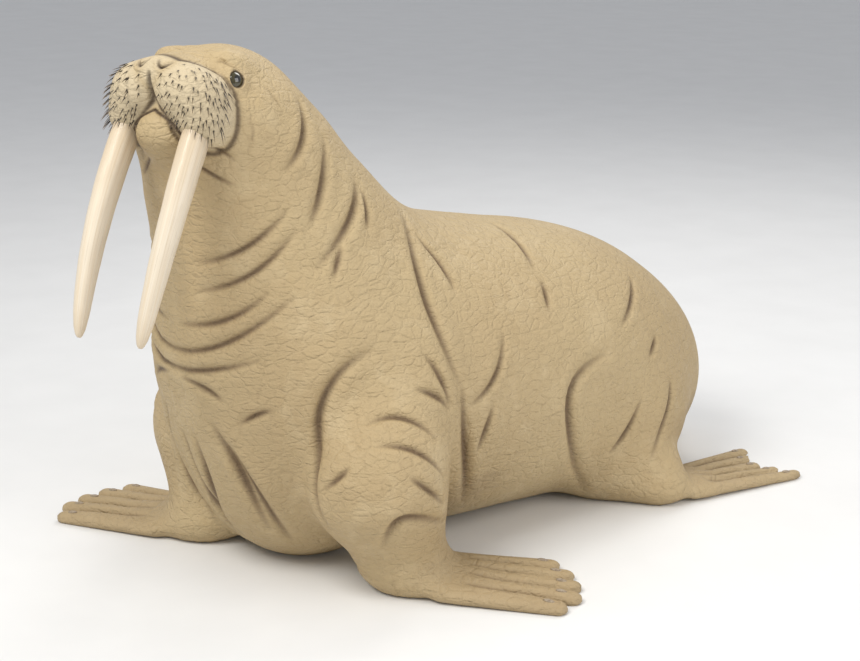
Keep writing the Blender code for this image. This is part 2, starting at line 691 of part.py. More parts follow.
def main():
    for obj in list(bpy.data.objects):
        bpy.data.objects.remove(obj)
    groups = flesh()
    dents = hollows()

    def plain(points):
        return hide_distance(groups, [], points)

    def dented(points):
        return hide_distance(groups, dents, points)

    lines = lines_of(FOLDS, plain)
    neck_cut = ((0, 0.20, 0.92), (0, 0.45, -0.9))
    throat_cut = head_cut((0, -0.02, -0.20), (0, 0.76, -0.65))
    muzzle_cut = head_cut(*MUZZLE_PLANE)
    body = hide_mesh(groups, plain, 0.018, lines, BODY_TRIANGLES)
    nape = limb((0, 0.02, 0.94), (0, -0.04, 1.10), 0.299, 0.262, 0.2)
    head_masses = [Group(neck().masses[1:] + [nape], 0.1)] + groups[2:7]
    head = hide_mesh(head_masses, dented, 0.0065, lines, HEAD_TRIANGLES, [throat_cut])

    feet = (
        ("fore_flipper_left", (0.43, 0.19), 42, 0.06, 0.21, groups[7:9], FORE_TRIANGLES),
        ("fore_flipper_right", (-0.25, -0.03), 203, 0.06, 0.21, groups[9:11], FORE_TRIANGLES),
        ("hind_flipper_left", (0.44, 1.20), 84, 0.05, 0.165, groups[11:13], HIND_TRIANGLES),
        ("hind_flipper_right", (-0.38, 1.26), 105, 0.05, 0.165, groups[13:15], HIND_TRIANGLES),
    )
    pieces = {}
    for name, point, heading, along, reach, own, count in feet:
        cuts = flipper_cuts(point, heading, along, reach)
        fine = hide_mesh(own, plain, 0.008, lines, count, cuts[:1])
        pieces[name] = combined(fine, [block(cuts)], "INTERSECT")
        body = combined(body, [block(cuts, GAP)], "DIFFERENCE")
    arm_top = [((0, 0.37, 0), (0, 1, 0)), ((0, 0, 0.7), (0, 0, 1))]
    thigh_top = [((0, 0.98, 0), (0, -1, 0)), ((0, 0, 0.5), (0, 0, 1))]
    splits = (
        ("neck", [neck_cut]),
        ("tail", [((0, 1.685, 0), (0, -1, 0)), ((0, 0, 0.25), (0, 0, 1))]),
        ("upper_arm_left", [((0.36, 0, 0), (-1, 0, 0.15))] + arm_top),
        ("upper_arm_right", [((-0.31, 0, 0), (1, 0, 0.15))] + arm_top),
        ("thigh_left", [((0.37, 0, 0.25), (-1, 0, 0.6))] + thigh_top),
        ("thigh_right", [((-0.37, 0, 0.25), (1, 0, 0.6))] + thigh_top),
        ("hips", [((0, 0.98, 0.4), (0, -1, 0.1))]),
    )
    for name, cuts in splits:
        pieces[name] = combined(body.copy(), [block(cuts)], "INTERSECT")
        body = combined(body, [block(cuts, GAP)], "DIFFERENCE")
    pieces["torso"] = combined(body, [block([])], "INTERSECT")
    below = (throat_cut[0], -throat_cut[1])
    pieces["neck"] = combined(pieces["neck"], [block([below], -GAP)], "INTERSECT")
    head = combined(head, [block([throat_cut])], "INTERSECT")
    sockets = [eye_mesh(side, GAP) for side in (1, -1)] + [tusk_mesh(side, GAP) for side in (1, -1)]
    sockets += [lid_opening(side) for side in (1, -1)]
    head = combined(head, sockets, "DIFFERENCE")
    muzzle = combined(head.copy(), [block([muzzle_cut])], "INTERSECT")
    pieces["muzzle"] = combined(muzzle, bristles(muzzle), "UNION")
    pieces["head"] = combined(head, [block([muzzle_cut], GAP)], "DIFFERENCE")
    for name, mesh in pieces.items():
        place_node(name, mesh, HIDE_COLOUR, 0.6)
    for side, word in ((1, "left"), (-1, "right")):
        place_node("tusk_" + word, tusk_mesh(side, 0), (0.80, 0.68, 0.52), 0.3)
        place_node("eye_" + word, eye_mesh(side, 0), (0.03, 0.028, 0.005), 0.08)


main()
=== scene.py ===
"""The walrus's looks: one folded hide over the whole body, eyes, tusks, whiskers, nails and the stage."""

import json
import math
from collections import namedtuple

import bmesh
import bpy
import numpy as np
from mathutils import Matrix, Vector
from mathutils.bvhtree import BVHTree

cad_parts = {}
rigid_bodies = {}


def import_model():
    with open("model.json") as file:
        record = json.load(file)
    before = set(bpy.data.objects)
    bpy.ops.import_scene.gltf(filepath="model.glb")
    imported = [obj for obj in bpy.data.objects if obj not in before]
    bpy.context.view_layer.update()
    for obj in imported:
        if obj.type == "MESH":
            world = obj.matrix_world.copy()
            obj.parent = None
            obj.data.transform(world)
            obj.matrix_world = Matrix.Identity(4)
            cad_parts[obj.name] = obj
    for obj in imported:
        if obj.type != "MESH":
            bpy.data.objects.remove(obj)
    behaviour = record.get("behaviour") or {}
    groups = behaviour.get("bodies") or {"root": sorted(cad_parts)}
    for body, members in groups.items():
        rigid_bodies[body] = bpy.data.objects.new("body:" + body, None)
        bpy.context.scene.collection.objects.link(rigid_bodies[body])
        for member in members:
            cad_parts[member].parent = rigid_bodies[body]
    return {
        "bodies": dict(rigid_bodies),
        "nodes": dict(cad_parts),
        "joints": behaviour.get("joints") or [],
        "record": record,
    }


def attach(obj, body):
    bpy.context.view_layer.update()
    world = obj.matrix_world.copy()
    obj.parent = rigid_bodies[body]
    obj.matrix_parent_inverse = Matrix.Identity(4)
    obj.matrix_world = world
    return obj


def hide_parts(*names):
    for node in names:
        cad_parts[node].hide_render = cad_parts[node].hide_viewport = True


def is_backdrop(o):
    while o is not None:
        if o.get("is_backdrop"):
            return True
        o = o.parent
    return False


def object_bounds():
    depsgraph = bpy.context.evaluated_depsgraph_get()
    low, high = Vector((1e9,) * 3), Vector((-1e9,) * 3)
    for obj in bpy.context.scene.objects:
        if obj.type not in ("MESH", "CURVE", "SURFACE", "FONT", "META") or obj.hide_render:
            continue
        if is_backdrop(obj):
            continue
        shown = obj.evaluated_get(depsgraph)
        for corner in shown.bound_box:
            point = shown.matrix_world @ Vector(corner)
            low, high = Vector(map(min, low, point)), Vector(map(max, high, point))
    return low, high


# Driving dimensions
HEAD_CENTRE = (0.030, -0.155, 1.345)
HEAD_PITCH = 26.0
HEAD_YAW = 20.0
EYE_RADIUS = 0.032
EYE_CENTRE = (0.126, -0.098, 0.034)
EYE_LOOK = (0.88, -0.40, 0.24)
TUSK_ROOT = (0.110, -0.158, -0.085)
TUSK_TIP = (0.100, -0.165, -0.692)
TUSK_RADII = (0.034, 0.041)
MUZZLE_PLANE = ((0, -0.1267, 0), (0, 1, 0.267))
TUSK_STEPS = ((0, 1.0), (0.12, 1.02), (0.28, 0.98), (0.46, 0.90), (0.64, 0.80), (0.80, 0.68),
              (0.90, 0.57), (0.96, 0.43), (0.99, 0.26), (1.0, 0.12))
SHIFT = (-0.085, -0.588, 0)
DIGIT_FLAT = 0.62
HIDE_VOXEL = 0.0200
LID_HOLLOW = (0.0265, 0.0340, 0.0280)
LID_HOLLOW_OUT = 0.046
WHISKER_ROWS = 9
DIGIT_FURROW = (0.0092, 0.0105)
NAIL_HALF_LENGTH = 0.0180
BIG_FOLD = 0.0075
CAMERA_AZIMUTH = 50
CAMERA_ELEVATION = 16
CAMERA_DISTANCE = 5.0
PIXELS_PER_METRE = 339
FLESH_NODES = (
    "torso", "hips", "neck", "head", "muzzle", "tail",
    "upper_arm_left", "upper_arm_right", "fore_flipper_left", "fore_flipper_right",
    "thigh_left", "thigh_right", "hind_flipper_left", "hind_flipper_right",
)

# Where each flipper starts: the wrist or ankle, the heading, the start along it and its half width
FLIPPERS = (
    ((0.43, 0.19), 42, 0.06, 0.24),
    ((-0.25, -0.03), 203, 0.06, 0.24),
    ((0.44, 1.20), 84, 0.05, 0.18),
    ((-0.38, 1.26), 105, 0.05, 0.18),
)

# Colours
HIDE_TAN = (0.50, 0.385, 0.215, 1)
HIDE_WARM = (0.44, 0.325, 0.175, 1)
HIDE_PALE = (0.60, 0.48, 0.29, 1)
HIDE_DARK = (0.30, 0.215, 0.115, 1)
FLIPPER_BROWN = (0.34, 0.25, 0.145, 1)
# Brown painted shade for the hide's creases
FOLD_SHADE_BROWN = (0.13, 0.080, 0.042, 1)
# Near-black painted shade for the hollows, nostrils and mouth line
SUNK_SHADE_BROWN = (0.040, 0.024, 0.014, 1)
PAD_PALE = (0.60, 0.50, 0.335, 1)
PAD_WARM = (0.54, 0.435, 0.275, 1)
PORE_BROWN = (0.035, 0.024, 0.015, 1)
IVORY_PALE = (0.76, 0.68, 0.55, 1)
IVORY_WARM = (0.70, 0.58, 0.42, 1)
IVORY_STAIN = (0.56, 0.42, 0.25, 1)
IVORY_CRACK = (0.26, 0.17, 0.09, 1)
IRIS_OLIVE = (0.048, 0.042, 0.006, 1)
IRIS_BROWN = (0.030, 0.022, 0.005, 1)
PUPIL_BLACK = (0.004, 0.004, 0.003, 1)
EYE_EDGE = (0.030, 0.020, 0.012, 1)
EYE_RIM = (0.020, 0.010, 0.007, 1)
WHISKER_DARK = (0.020, 0.013, 0.008, 1)
WHISKER_TIP = (0.20, 0.13, 0.065, 1)
NAIL_DARK = (0.22, 0.165, 0.11, 1)
NAIL_PALE = (0.42, 0.34, 0.24, 1)
FLOOR_GREY = (0.80, 0.80, 0.79, 1)
FLOOR_PALE = (0.83, 0.83, 0.82, 1)

Mass = namedtuple("Mass", "place shape blend")
Group = namedtuple("Group", "masses blend")
Fold = namedtuple("Fold", "start middle end width depth both")

# The hide's big folds: start, middle, end, width, depth, and whether both sides have it
FOLDS = (
    Fold((0.18, 0.03, 1.35), (0.24, -0.00, 1.27), (0.27, -0.08, 1.19), 0.012, 0.012, True),
    Fold((0.22, 0.08, 1.25), (0.28, 0.03, 1.14), (0.30, -0.03, 1.04), 0.014, 0.012, True),
    Fold((0.24, 0.17, 1.13), (0.30, 0.11, 1.05), (0.33, -0.03, 0.93), 0.014, 0.012, True),
    Fold((0.33, 0.05, 0.98), (0.34, 0.03, 0.94), (0.35, 0.01, 0.90), 0.011, 0.009, True),
    Fold((0.25, 0.18, 1.10), (0.28, 0.17, 1.05), (0.31, 0.15, 1.01), 0.011, 0.009, True),
    Fold((0.11, -0.26, 0.94), (0.23, -0.19, 0.99), (0.28, -0.09, 1.08), 0.011, 0.009, True),
    Fold((0.10, -0.27, 0.86), (0.24, -0.18, 0.92), (0.29, -0.07, 1.03), 0.011, 0.009, True),
    Fold((0.03, -0.28, 0.76), (0.18, -0.23, 0.79), (0.27, -0.15, 0.87), 0.011, 0.009, True),
    Fold((-0.06, -0.27, 0.68), (0.17, -0.24, 0.72), (0.31, -0.09, 0.86), 0.011, 0.009, True),
    Fold((-0.04, -0.28, 0.63), (0.11, -0.27, 0.64), (0.27, -0.18, 0.69), 0.011, 0.009, True),
    Fold((0.03, -0.28, 0.61), (0.12, -0.26, 0.59), (0.17, -0.24, 0.56), 0.011, 0.009, True),
    Fold((0.21, -0.21, 0.50), (0.25, -0.19, 0.53), (0.29, -0.16, 0.55), 0.011, 0.009, True),
    Fold((0.12, -0.24, 0.48), (0.16, -0.18, 0.34), (0.16, -0.09, 0.15), 0.016, 0.014, True),
    Fold((0.16, -0.21, 0.42), (0.19, -0.13, 0.26), (0.18, -0.03, 0.11), 0.015, 0.012, True),
    Fold((0.03, -0.24, 0.42), (0.02, -0.19, 0.25), (-0.02, -0.09, 0.09), 0.015, 0.012, True),
    Fold((0.42, 0.07, 0.70), (0.37, -0.06, 0.55), (0.41, -0.07, 0.22), 0.015, 0.014, True),
    Fold((0.49, -0.06, 0.42), (0.47, -0.08, 0.39), (0.43, -0.09, 0.35), 0.011, 0.009, True),
    Fold((0.47, 0.03, 0.52), (0.51, 0.11, 0.53), (0.55, 0.20, 0.46), 0.011, 0.009, True),
    Fold((0.52, 0.02, 0.47), (0.57, 0.11, 0.45), (0.58, 0.20, 0.36), 0.011, 0.009, True),
    Fold((0.59, 0.07, 0.39), (0.61, 0.12, 0.35), (0.58, 0.20, 0.28), 0.011, 0.009, True),
    Fold((0.54, 0.02, 0.19), (0.59, 0.05, 0.28), (0.55, 0.21, 0.22), 0.014, 0.014, True),
    Fold((0.49, 0.18, 0.59), (0.50, 0.24, 0.56), (0.49, 0.29, 0.51), 0.011, 0.009, True),
    Fold((0.46, 0.23, 0.67), (0.48, 0.27, 0.60), (0.49, 0.29, 0.52), 0.011, 0.009, True),
    Fold((0.21, 0.36, 1.01), (0.39, 0.29, 0.82), (0.48, 0.34, 0.57), 0.015, 0.012, True),
    Fold((0.48, 0.35, 0.56), (0.46, 0.38, 0.36), (0.36, 0.46, 0.16), 0.015, 0.012, True),
    Fold((0.27, 0.36, 0.95), (0.32, 0.40, 0.88), (0.38, 0.41, 0.81), 0.011, 0.009, True),
    Fold((0.45, 0.53, 0.67), (0.48, 0.47, 0.56), (0.48, 0.38, 0.50), 0.011, 0.009, True),
    Fold((0.49, 0.46, 0.48), (0.48, 0.44, 0.41), (0.46, 0.42, 0.35), 0.011, 0.009, True),
    Fold((0.09, 0.80, 0.90), (0.21, 0.80, 0.86), (0.32, 0.77, 0.80), 0.011, 0.009, True),
    Fold((0.35, 0.77, 0.77), (0.39, 0.76, 0.74), (0.42, 0.74, 0.70), 0.011, 0.009, True),
    Fold((0.30, 1.21, 0.70), (0.37, 1.14, 0.65), (0.43, 1.04, 0.60), 0.011, 0.009, True),
    Fold((0.47, 0.93, 0.54), (0.49, 0.76, 0.41), (0.35, 0.97, 0.06), 0.016, 0.014, True),
    Fold((0.41, 1.21, 0.53), (0.43, 1.19, 0.51), (0.44, 1.15, 0.48), 0.011, 0.009, True),
    Fold((0.47, 1.09, 0.36), (0.46, 1.04, 0.27), (0.44, 0.99, 0.20), 0.011, 0.009, True),
    Fold((0.45, 1.25, 0.39), (0.47, 1.22, 0.30), (0.48, 1.13, 0.16), 0.011, 0.009, True),
)

# Creases of the face and the nostrils in the head's own frame: start, middle, end, width and depth
FACE_FOLDS = (
    ((0.084, -0.132, 0.066), (0.120, -0.126, 0.076), (0.156, -0.078, 0.050), 0.0045, 0.0035),
    ((0.092, -0.138, 0.012), (0.136, -0.134, -0.010), (0.164, -0.084, -0.004), 0.0045, 0.0035),
    ((0.104, -0.142, -0.004), (0.142, -0.130, -0.028), (0.170, -0.070, -0.020), 0.0050, 0.0030),
    ((0.015, -0.261, 0.031), (0.033, -0.270, 0.008), (0.053, -0.252, 0.029), 0.0048, 0.0085),
    ((0.120, -0.120, -0.152), (0.146, -0.090, -0.150), (0.160, -0.050, -0.158), 0.0065, 0.0055),
    ((0.000, -0.165, 0.082), (0.045, -0.155, 0.084), (0.085, -0.135, 0.080), 0.0050, 0.0022),
    ((0.000, -0.125, 0.100), (0.045, -0.118, 0.102), (0.080, -0.105, 0.098), 0.0055, 0.0022),
    ((0.000, -0.085, 0.116), (0.050, -0.080, 0.116), (0.092, -0.070, 0.112), 0.0060, 0.0020),
    ((0.060, -0.110, -0.185), (0.100, -0.060, -0.195), (0.135, 0.010, -0.200), 0.0080, 0.0060),
    ((0.168, -0.060, -0.040), (0.180, -0.040, -0.090), (0.172, -0.030, -0.135), 0.0070, 0.0030),
    ((0.170, -0.030, 0.050), (0.182, 0.010, 0.020), (0.186, 0.040, -0.030), 0.0070, 0.0025),
)


def turned(degrees):
    """A rotation by three angles, about X, then Y, then Z."""
    x, y, z = (math.radians(a) for a in degrees)
    return Matrix.Rotation(z, 4, "Z") @ Matrix.Rotation(y, 4, "Y") @ Matrix.Rotation(x, 4, "X")


def ball(centre, radii, blend, turn=(0, 0, 0)):
    """A fleshy ellipsoid, with its radii along its own axes."""
    return Mass(Matrix.Translation(Vector(centre)) @ turned(turn), tuple(radii), blend)


def limb(start, end, start_radius, end_radius, blend, flat=1.0, across=(1, 0, 0)):
    """A round-ended taper. Flat squeezes its thickness, square to the across direction."""
    start, end = Vector(start), Vector(end)
    along = (end - start).normalized()
    thick = along.cross(Vector(across)).normalized()
    wide = thick.cross(along).normalized()
    place = Matrix.Translation(start) @ Matrix((wide, thick, along)).transposed().to_4x4()
    return Mass(place, ((end - start).length, start_radius, end_radius, flat), blend)


def moved(masses, place):
    """The masses carried from their own frame to another."""
    return [Mass(place @ mass.place, mass.shape, mass.blend) for mass in masses]


def head_place():
    """The head's own frame, which looks along its -Y, set on the neck."""
    return Matrix.Translation(Vector(HEAD_CENTRE)) @ turned((-HEAD_PITCH, 0, HEAD_YAW))


def floor_place(point, heading):
    """A frame on the floor whose X runs in the heading, in degrees from +X towards +Y."""
    turn = Matrix.Rotation(math.radians(heading), 4, "Z")
    return Matrix.Translation((point[0], point[1], 0)) @ turn


def trunk():
    """Chest, shoulders, ribs, loin and rump, resting on the belly."""
    return Group([
        ball((0, 0.13, 0.50), (0.38, 0.36, 0.52), 0.10),
        ball((0, 0.36, 0.53), (0.44, 0.42, 0.43), 0.20),
        ball((0, 0.78, 0.44), (0.49, 0.60, 0.455), 0.25),
        ball((0, 1.18, 0.37), (0.41, 0.44, 0.385), 0.20),
        ball((0, 1.41, 0.28), (0.31, 0.30, 0.295), 0.15),
    ], 0.1)


def neck():
    """The thick neck that rises from the shoulders to the back of the head."""
    return Group([
        limb((0, 0.11, 0.70), (0.0, -0.04, 1.10), 0.355, 0.262, 0.2),
        limb((0, 0.09, 0.98), (0.02, -0.10, 1.28), 0.245, 0.175, 0.15),
    ], 0.20)


def skull():
    """Cranium, snout, brows, cheeks and lower jaw in the head's own frame."""
    masses = [
        ball((0, 0.045, 0.004), (0.160, 0.19, 0.152), 0.08),
        ball((0, -0.10, 0.0), (0.120, 0.150, 0.090), 0.06),
        ball((0, -0.07, -0.115), (0.095, 0.14, 0.075), 0.06),
    ]
    for side in (1, -1):
        masses += [
            ball((0.108 * side, 0.02, -0.060), (0.080, 0.15, 0.105), 0.06),
            ball((0.092 * side, -0.070, 0.090), (0.045, 0.060, 0.030), 0.04),
            ball((EYE_CENTRE[0] * side, *EYE_CENTRE[1:]), (0.035, 0.038, 0.036), 0.016),
        ]
    return Group(moved(masses, head_place()), 0.10)


def lower_lip():
    return Group(moved([
        ball((0, -0.120, -0.142), (0.082, 0.080, 0.052), 0.03),
        ball((0, -0.166, -0.130), (0.070, 0.045, 0.038), 0.03),
    ], head_place()), 0.03)


def whisker_pads():
    """The two swollen pads of the upper lip and the nose that joins them."""
    pads = []
    for side in (1, -1):
        masses = [
            ball((0.066 * side, -0.196, -0.028), (0.074, 0.074, 0.068), 0.05),
            ball((0.108 * side, -0.150, -0.050), (0.064, 0.080, 0.078), 0.05),
            ball((0.120 * side, -0.142, -0.103), (0.048, 0.061, 0.045), 0.05),
        ]
        pads.append(Group(moved(masses, head_place()), 0.016))
    nose = [
        ball((0, -0.190, 0.006), (0.080, 0.070, 0.044), 0.04),
        ball((0, -0.235, 0.0), (0.050, 0.034, 0.034), 0.03),
    ]
    return pads + [Group(moved(nose, head_place()), 0.030)]


def fanned_digits(base, offsets, lengths, radius, spread):
    """Five flattened digits that fan from the base of a flipper."""
    digits = []
    for offset, length in zip(offsets, lengths):
        digits.append(limb(
            (base, offset, 0.024), (base + length, offset * spread, 0.012),
            radius, radius * 0.78, 0.014, DIGIT_FLAT, (0, 1, 0),
        ))
    return digits


def foreleg(shoulder, elbow, wrist, heading, mirror):
    """Upper arm and forearm, and a flipper turned out on the floor."""
    arm = [
        limb(shoulder, elbow, 0.215, 0.175, 0.12),
        limb(elbow, wrist, 0.170, 0.115, 0.10),
    ]
    palm = [limb((0.0, 0, 0.045), (0.17, 0, 0.020), 0.118, 0.138, 0.08, 0.27, (0, 1, 0))]
    offsets = [-0.110, -0.056, 0.0, 0.055, 0.106]
    lengths = (0.315, 0.350, 0.345, 0.320, 0.275)
    digits = fanned_digits(0.12, [o * mirror for o in offsets], lengths, 0.038, 1.28)
    flipper = moved(palm + digits, floor_place(wrist, heading))
    return [Group(arm, 0.06), Group(flipper, 0.08)]


def hind_leg(side, ankle, heading):
    """Thigh, shank and the fanned hind flipper."""
    leg = [
        ball((0.27 * side, 1.17, 0.25), (0.20, 0.27, 0.26), 0.08),
        limb((0.30 * side, 1.10, 0.13), (*ankle, 0.075), 0.13, 0.095, 0.08),
    ]
    foot = [limb((0.0, 0, 0.05), (0.14, 0, 0.026), 0.100, 0.108, 0.06, 0.34, (0, 1, 0))]
    offsets = (-0.082, -0.042, 0.0, 0.042, 0.082)
    lengths = (0.40, 0.365, 0.35, 0.365, 0.40)
    foot += fanned_digits(0.10, offsets, lengths, 0.030, 1.5)
    return [Group(leg, 0.07), Group(moved(foot, floor_place(ankle, heading)), 0.05)]


def flesh():
    """Every group of masses, in the order that they are joined."""
    groups = [trunk(), neck(), skull(), lower_lip()] + whisker_pads()
    groups += foreleg((0.25, 0.26, 0.58), (0.41, 0.10, 0.33), (0.43, 0.19, 0.08), 42, 1)
    groups += foreleg((-0.25, 0.20, 0.58), (-0.30, 0.05, 0.33), (-0.25, -0.03, 0.08), 203, -1)
    groups += hind_leg(1, (0.44, 1.20), 84)
    groups += hind_leg(-1, (-0.38, 1.26), 105)
    groups.append(Group([limb((0, 1.58, 0.20), (0, 1.740, 0.14), 0.085, 0.048, 0.06, 0.7)], 0.05))
    return groups


def hollows():
    """The cleft of the upper lip, pressed into the muzzle."""
    return moved([
        limb((0, -0.275, -0.010), (0, -0.258, -0.040), 0.007, 0.008, 0.006),
        limb((0, -0.258, -0.040), (0, -0.221, -0.076), 0.008, 0.009, 0.006),
    ], head_place())


def ellipsoid_distance(local, radii):
    """About how far points are outside an ellipsoid, and negative inside it."""
    radii = np.array(radii)
    inner = np.linalg.norm(local / radii, axis=1)
    slope = np.linalg.norm(local / radii**2, axis=1)
    return inner * (inner - 1) / np.maximum(slope, 1e-9)


def taper_distance(local, length, start_radius, end_radius, flat):
    """About how far points are outside a round-ended taper along its own Z."""
    x, y, z = local[:, 0], local[:, 1] / flat, local[:, 2]
    sine = (start_radius - end_radius) / length
    round_way = np.hypot(x, y)
    along = np.clip(z - round_way * sine / math.sqrt(1 - sine * sine), 0, length)
    reach = np.maximum(np.hypot(round_way, z - along), 1e-9)
    slope = np.sqrt(x**2 + (y / flat) ** 2 + (z - along) ** 2) / reach
    return (reach - start_radius - (end_radius - start_radius) * along / length) / slope


def mass_distance(mass, points):
    inverse = np.array(mass.place.inverted())
    local = points @ inverse[:3, :3].T + inverse[:3, 3]
    if len(mass.shape) == 3:
        return ellipsoid_distance(local, mass.shape)
    return taper_distance(local, *mass.shape)


def flowed(first, second, blend):
    """The smaller of two distances, with the crease between them filled over the blend."""
    share = np.clip(0.5 + 0.5 * (second - first) / blend, 0, 1)
    return second + (first - second) * share - blend * share * (1 - share)


def group_distance(group, points):
    distance = mass_distance(group.masses[0], points)
    for mass in group.masses[1:]:
        distance = flowed(distance, mass_distance(mass, points), mass.blend)
    return distance


def hide_distance(groups, dents, points):
    """How far points are outside the smooth union of the groups, less the dents."""
    distance = group_distance(groups[0], points)
    for group in groups[1:]:
        distance = flowed(distance, group_distance(group, points), group.blend)
    for dent in dents:
        distance = -flowed(-distance, mass_distance(dent, points), dent.blend)
    return distance


def gradient(field, points, step=0.001):
    base = field(points)
    slopes = []
    for axis in range(3):
        shifted = points.copy()
        shifted[:, axis] += step
        slopes.append((field(shifted) - base) / step)
    return base, np.stack(slopes, axis=1)


def solid_ball(bm, mass):
    size = Matrix.Diagonal((*mass.shape, 1))
    bmesh.ops.create_icosphere(bm, subdivisions=3, radius=1, matrix=mass.place @ size)


def solid_limb(bm, mass):
    """The hull of a limb's two end spheres."""
    length, start_radius, end_radius, flat = mass.shape
    squeeze = mass.place @ Matrix.Diagonal((1, flat, 1, 1))
    hull = bmesh.new()
    for offset, radius in ((0, start_radius), (length, end_radius)):
        place = squeeze @ Matrix.Translation((0, 0, offset))
        bmesh.ops.create_icosphere(hull, subdivisions=3, radius=radius, matrix=place)
    bmesh.ops.delete(hull, geom=hull.edges[:] + hull.faces[:], context="EDGES_FACES")
    made = bmesh.ops.convex_hull(hull, input=hull.verts[:])
    inside = [v for v in made["geom_interior"] if isinstance(v, bmesh.types.BMVert)]
    bmesh.ops.delete(hull, geom=inside, context="VERTS")
    mesh = bpy.data.meshes.new("hull")
    hull.to_mesh(mesh)
    hull.free()
    bm.from_mesh(mesh)
    bpy.data.meshes.remove(mesh)


def rough_mesh(groups, voxel):
    """The plain union of the masses, remeshed together."""
    bm = bmesh.new()
    for group in groups:
        for mass in group.masses:
            build = solid_ball if len(mass.shape) == 3 else solid_limb
            build(bm, mass)
    mesh = bpy.data.meshes.new("rough")
    bm.to_mesh(mesh)
    bm.free()
    obj = new_piece("rough", mesh)
    remesh = obj.modifiers.new("union", "REMESH")
    remesh.mode = "VOXEL"
    remesh.voxel_size = voxel
    return evaluated(obj)


def points_of(mesh):
    points = np.empty(len(mesh.vertices) * 3)
    mesh.vertices.foreach_get("co", points)
    return points.reshape(-1, 3)


def settle(mesh, field, passes, reach, chosen=None):
    """Moves each vertex, or only the chosen ones, down the field's slope onto its zero level."""
    points = points_of(mesh)
    picked = np.nonzero(chosen(points))[0] if chosen else np.arange(len(points))
    own = points[picked]
    for _ in range(passes):
        distance, slope = gradient(field, own)
        step = slope * (distance / np.maximum((slope**2).sum(axis=1), 0.1))[:, None]
        size = np.linalg.norm(step, axis=1)
        own -= step * np.minimum(1, reach / np.maximum(size, 1e-9))[:, None]
    points[picked] = own
    mesh.vertices.foreach_set("co", points.ravel())
    mesh.update()


def relax(mesh, rounds):
    """Evens out the mesh between two settlings."""
    bm = bmesh.new()
    bm.from_mesh(mesh)
    for _ in range(rounds):
        bmesh.ops.smooth_vert(
            bm, verts=bm.verts[:], factor=0.5, use_axis_x=True, use_axis_y=True, use_axis_z=True
        )
    bm.to_mesh(mesh)
    bm.free()


def lines_of(folds, field):
    """Each fold as a row of points laid on the hide, on both sides of the body where it says so."""
    lines = []
    for fold in folds:
        for side in (1, -1) if fold.both else (1,):
            start, middle, end = (np.array(p) * (side, 1, 1) for p in (fold.start, fold.middle, fold.end))
            t = np.linspace(0, 1, 15)[:, None]
            bend = middle * 2 - (start + end) / 2
            line = start * (1 - t) ** 2 + bend * 2 * t * (1 - t) + end * t**2
            for _ in range(4):
                distance, slope = gradient(field, line)
                line -= slope * (distance / np.maximum((slope**2).sum(axis=1), 0.1))[:, None]
            lines.append((line, fold.width, fold.depth))
    return lines


def line_distance(points, line):
    """How far points are from a line, and how near to its middle they fall, from 0 to 1."""
    nearest = np.full(len(points), 1e9)
    share = np.zeros(len(points))
    steps = len(line) - 1
    for number in range(steps):
        along = line[number + 1] - line[number]
        t = np.clip((points - line[number]) @ along / (along @ along), 0, 1)
        distance = np.linalg.norm(points - line[number] - t[:, None] * along, axis=1)
        closer = distance < nearest
        nearest[closer] = distance[closer]
        share[closer] = ((number + t) / steps)[closer]
    return nearest, np.sin(np.pi * share)


def new_piece(name, mesh):
    piece = bpy.data.objects.new(name, mesh)
    bpy.context.scene.collection.objects.link(piece)
    return piece


def bm_mesh(bm, name):
    mesh = bpy.data.meshes.new(name)
    bm.to_mesh(mesh)
    bm.free()
    return mesh


def evaluated(obj):
    """The object's mesh with its modifiers applied, and the object removed."""
    graph = bpy.context.evaluated_depsgraph_get()
    graph.update()
    mesh = bpy.data.meshes.new_from_object(obj.evaluated_get(graph))
    bpy.data.objects.remove(obj)
    return mesh


def refine(mesh, chosen):
    """Splits the faces whose middle points the chosen function picks, each into four."""
    bm = bmesh.new()
    bm.from_mesh(mesh)
    bm.faces.ensure_lookup_table()
    middles = np.array([face.calc_center_median() for face in bm.faces])
    picked = np.nonzero(chosen(middles))[0]
    edges = {edge for index in picked for edge in bm.faces[index].edges}
    bmesh.ops.subdivide_edges(bm, edges=list(edges), cuts=1, use_grid_fill=True)
    bmesh.ops.triangulate(bm, faces=[face for face in bm.faces if len(face.verts) > 4])
    bm.to_mesh(mesh)
    bm.free()


def head_points(points):
    """Points given in the head's own frame."""
    inverse = np.array(head_place().inverted())
    return points @ inverse[:3, :3].T + inverse[:3, 3]


def near_head(points):
    local = head_points(points)
    return (local[:, 1] < 0.12) & (np.linalg.norm(local, axis=1) < 0.42)


def near_face(points):
    local = head_points(points)
    return (local[:, 1] < -0.07) & (np.linalg.norm(local, axis=1) < 0.42) | near_eyes(points, 0.06)


def near_eyes(points, reach):
    nearest = np.full(len(points), 1e9)
    for side in (1, -1):
        eye = np.array(head_place() @ Vector((EYE_CENTRE[0] * side, *EYE_CENTRE[1:])))
        nearest = np.minimum(nearest, np.linalg.norm(points - eye, axis=1))
    return nearest < reach


def near_nose(points):
    """The front of the nose, with the nostrils and the lip's cleft."""
    local = head_points(points)
    inside = (abs(local[:, 0]) < 0.062) & (local[:, 1] < -0.20)
    return inside & (local[:, 2] > -0.09) & (local[:, 2] < 0.05)


def near_flippers(points):
    """The parts of the limbs that lie flat beyond the wrists and ankles."""
    chosen = np.zeros(len(points), bool)
    for point, heading, along, reach in FLIPPERS:
        way = np.array((math.cos(math.radians(heading)), math.sin(math.radians(heading)), 0))
        side = np.array((-way[1], way[0], 0))
        local = points - (*point, 0)
        chosen |= (local @ way > along) & (abs(local @ side) < reach) & (points[:, 2] < 0.2)
    return chosen


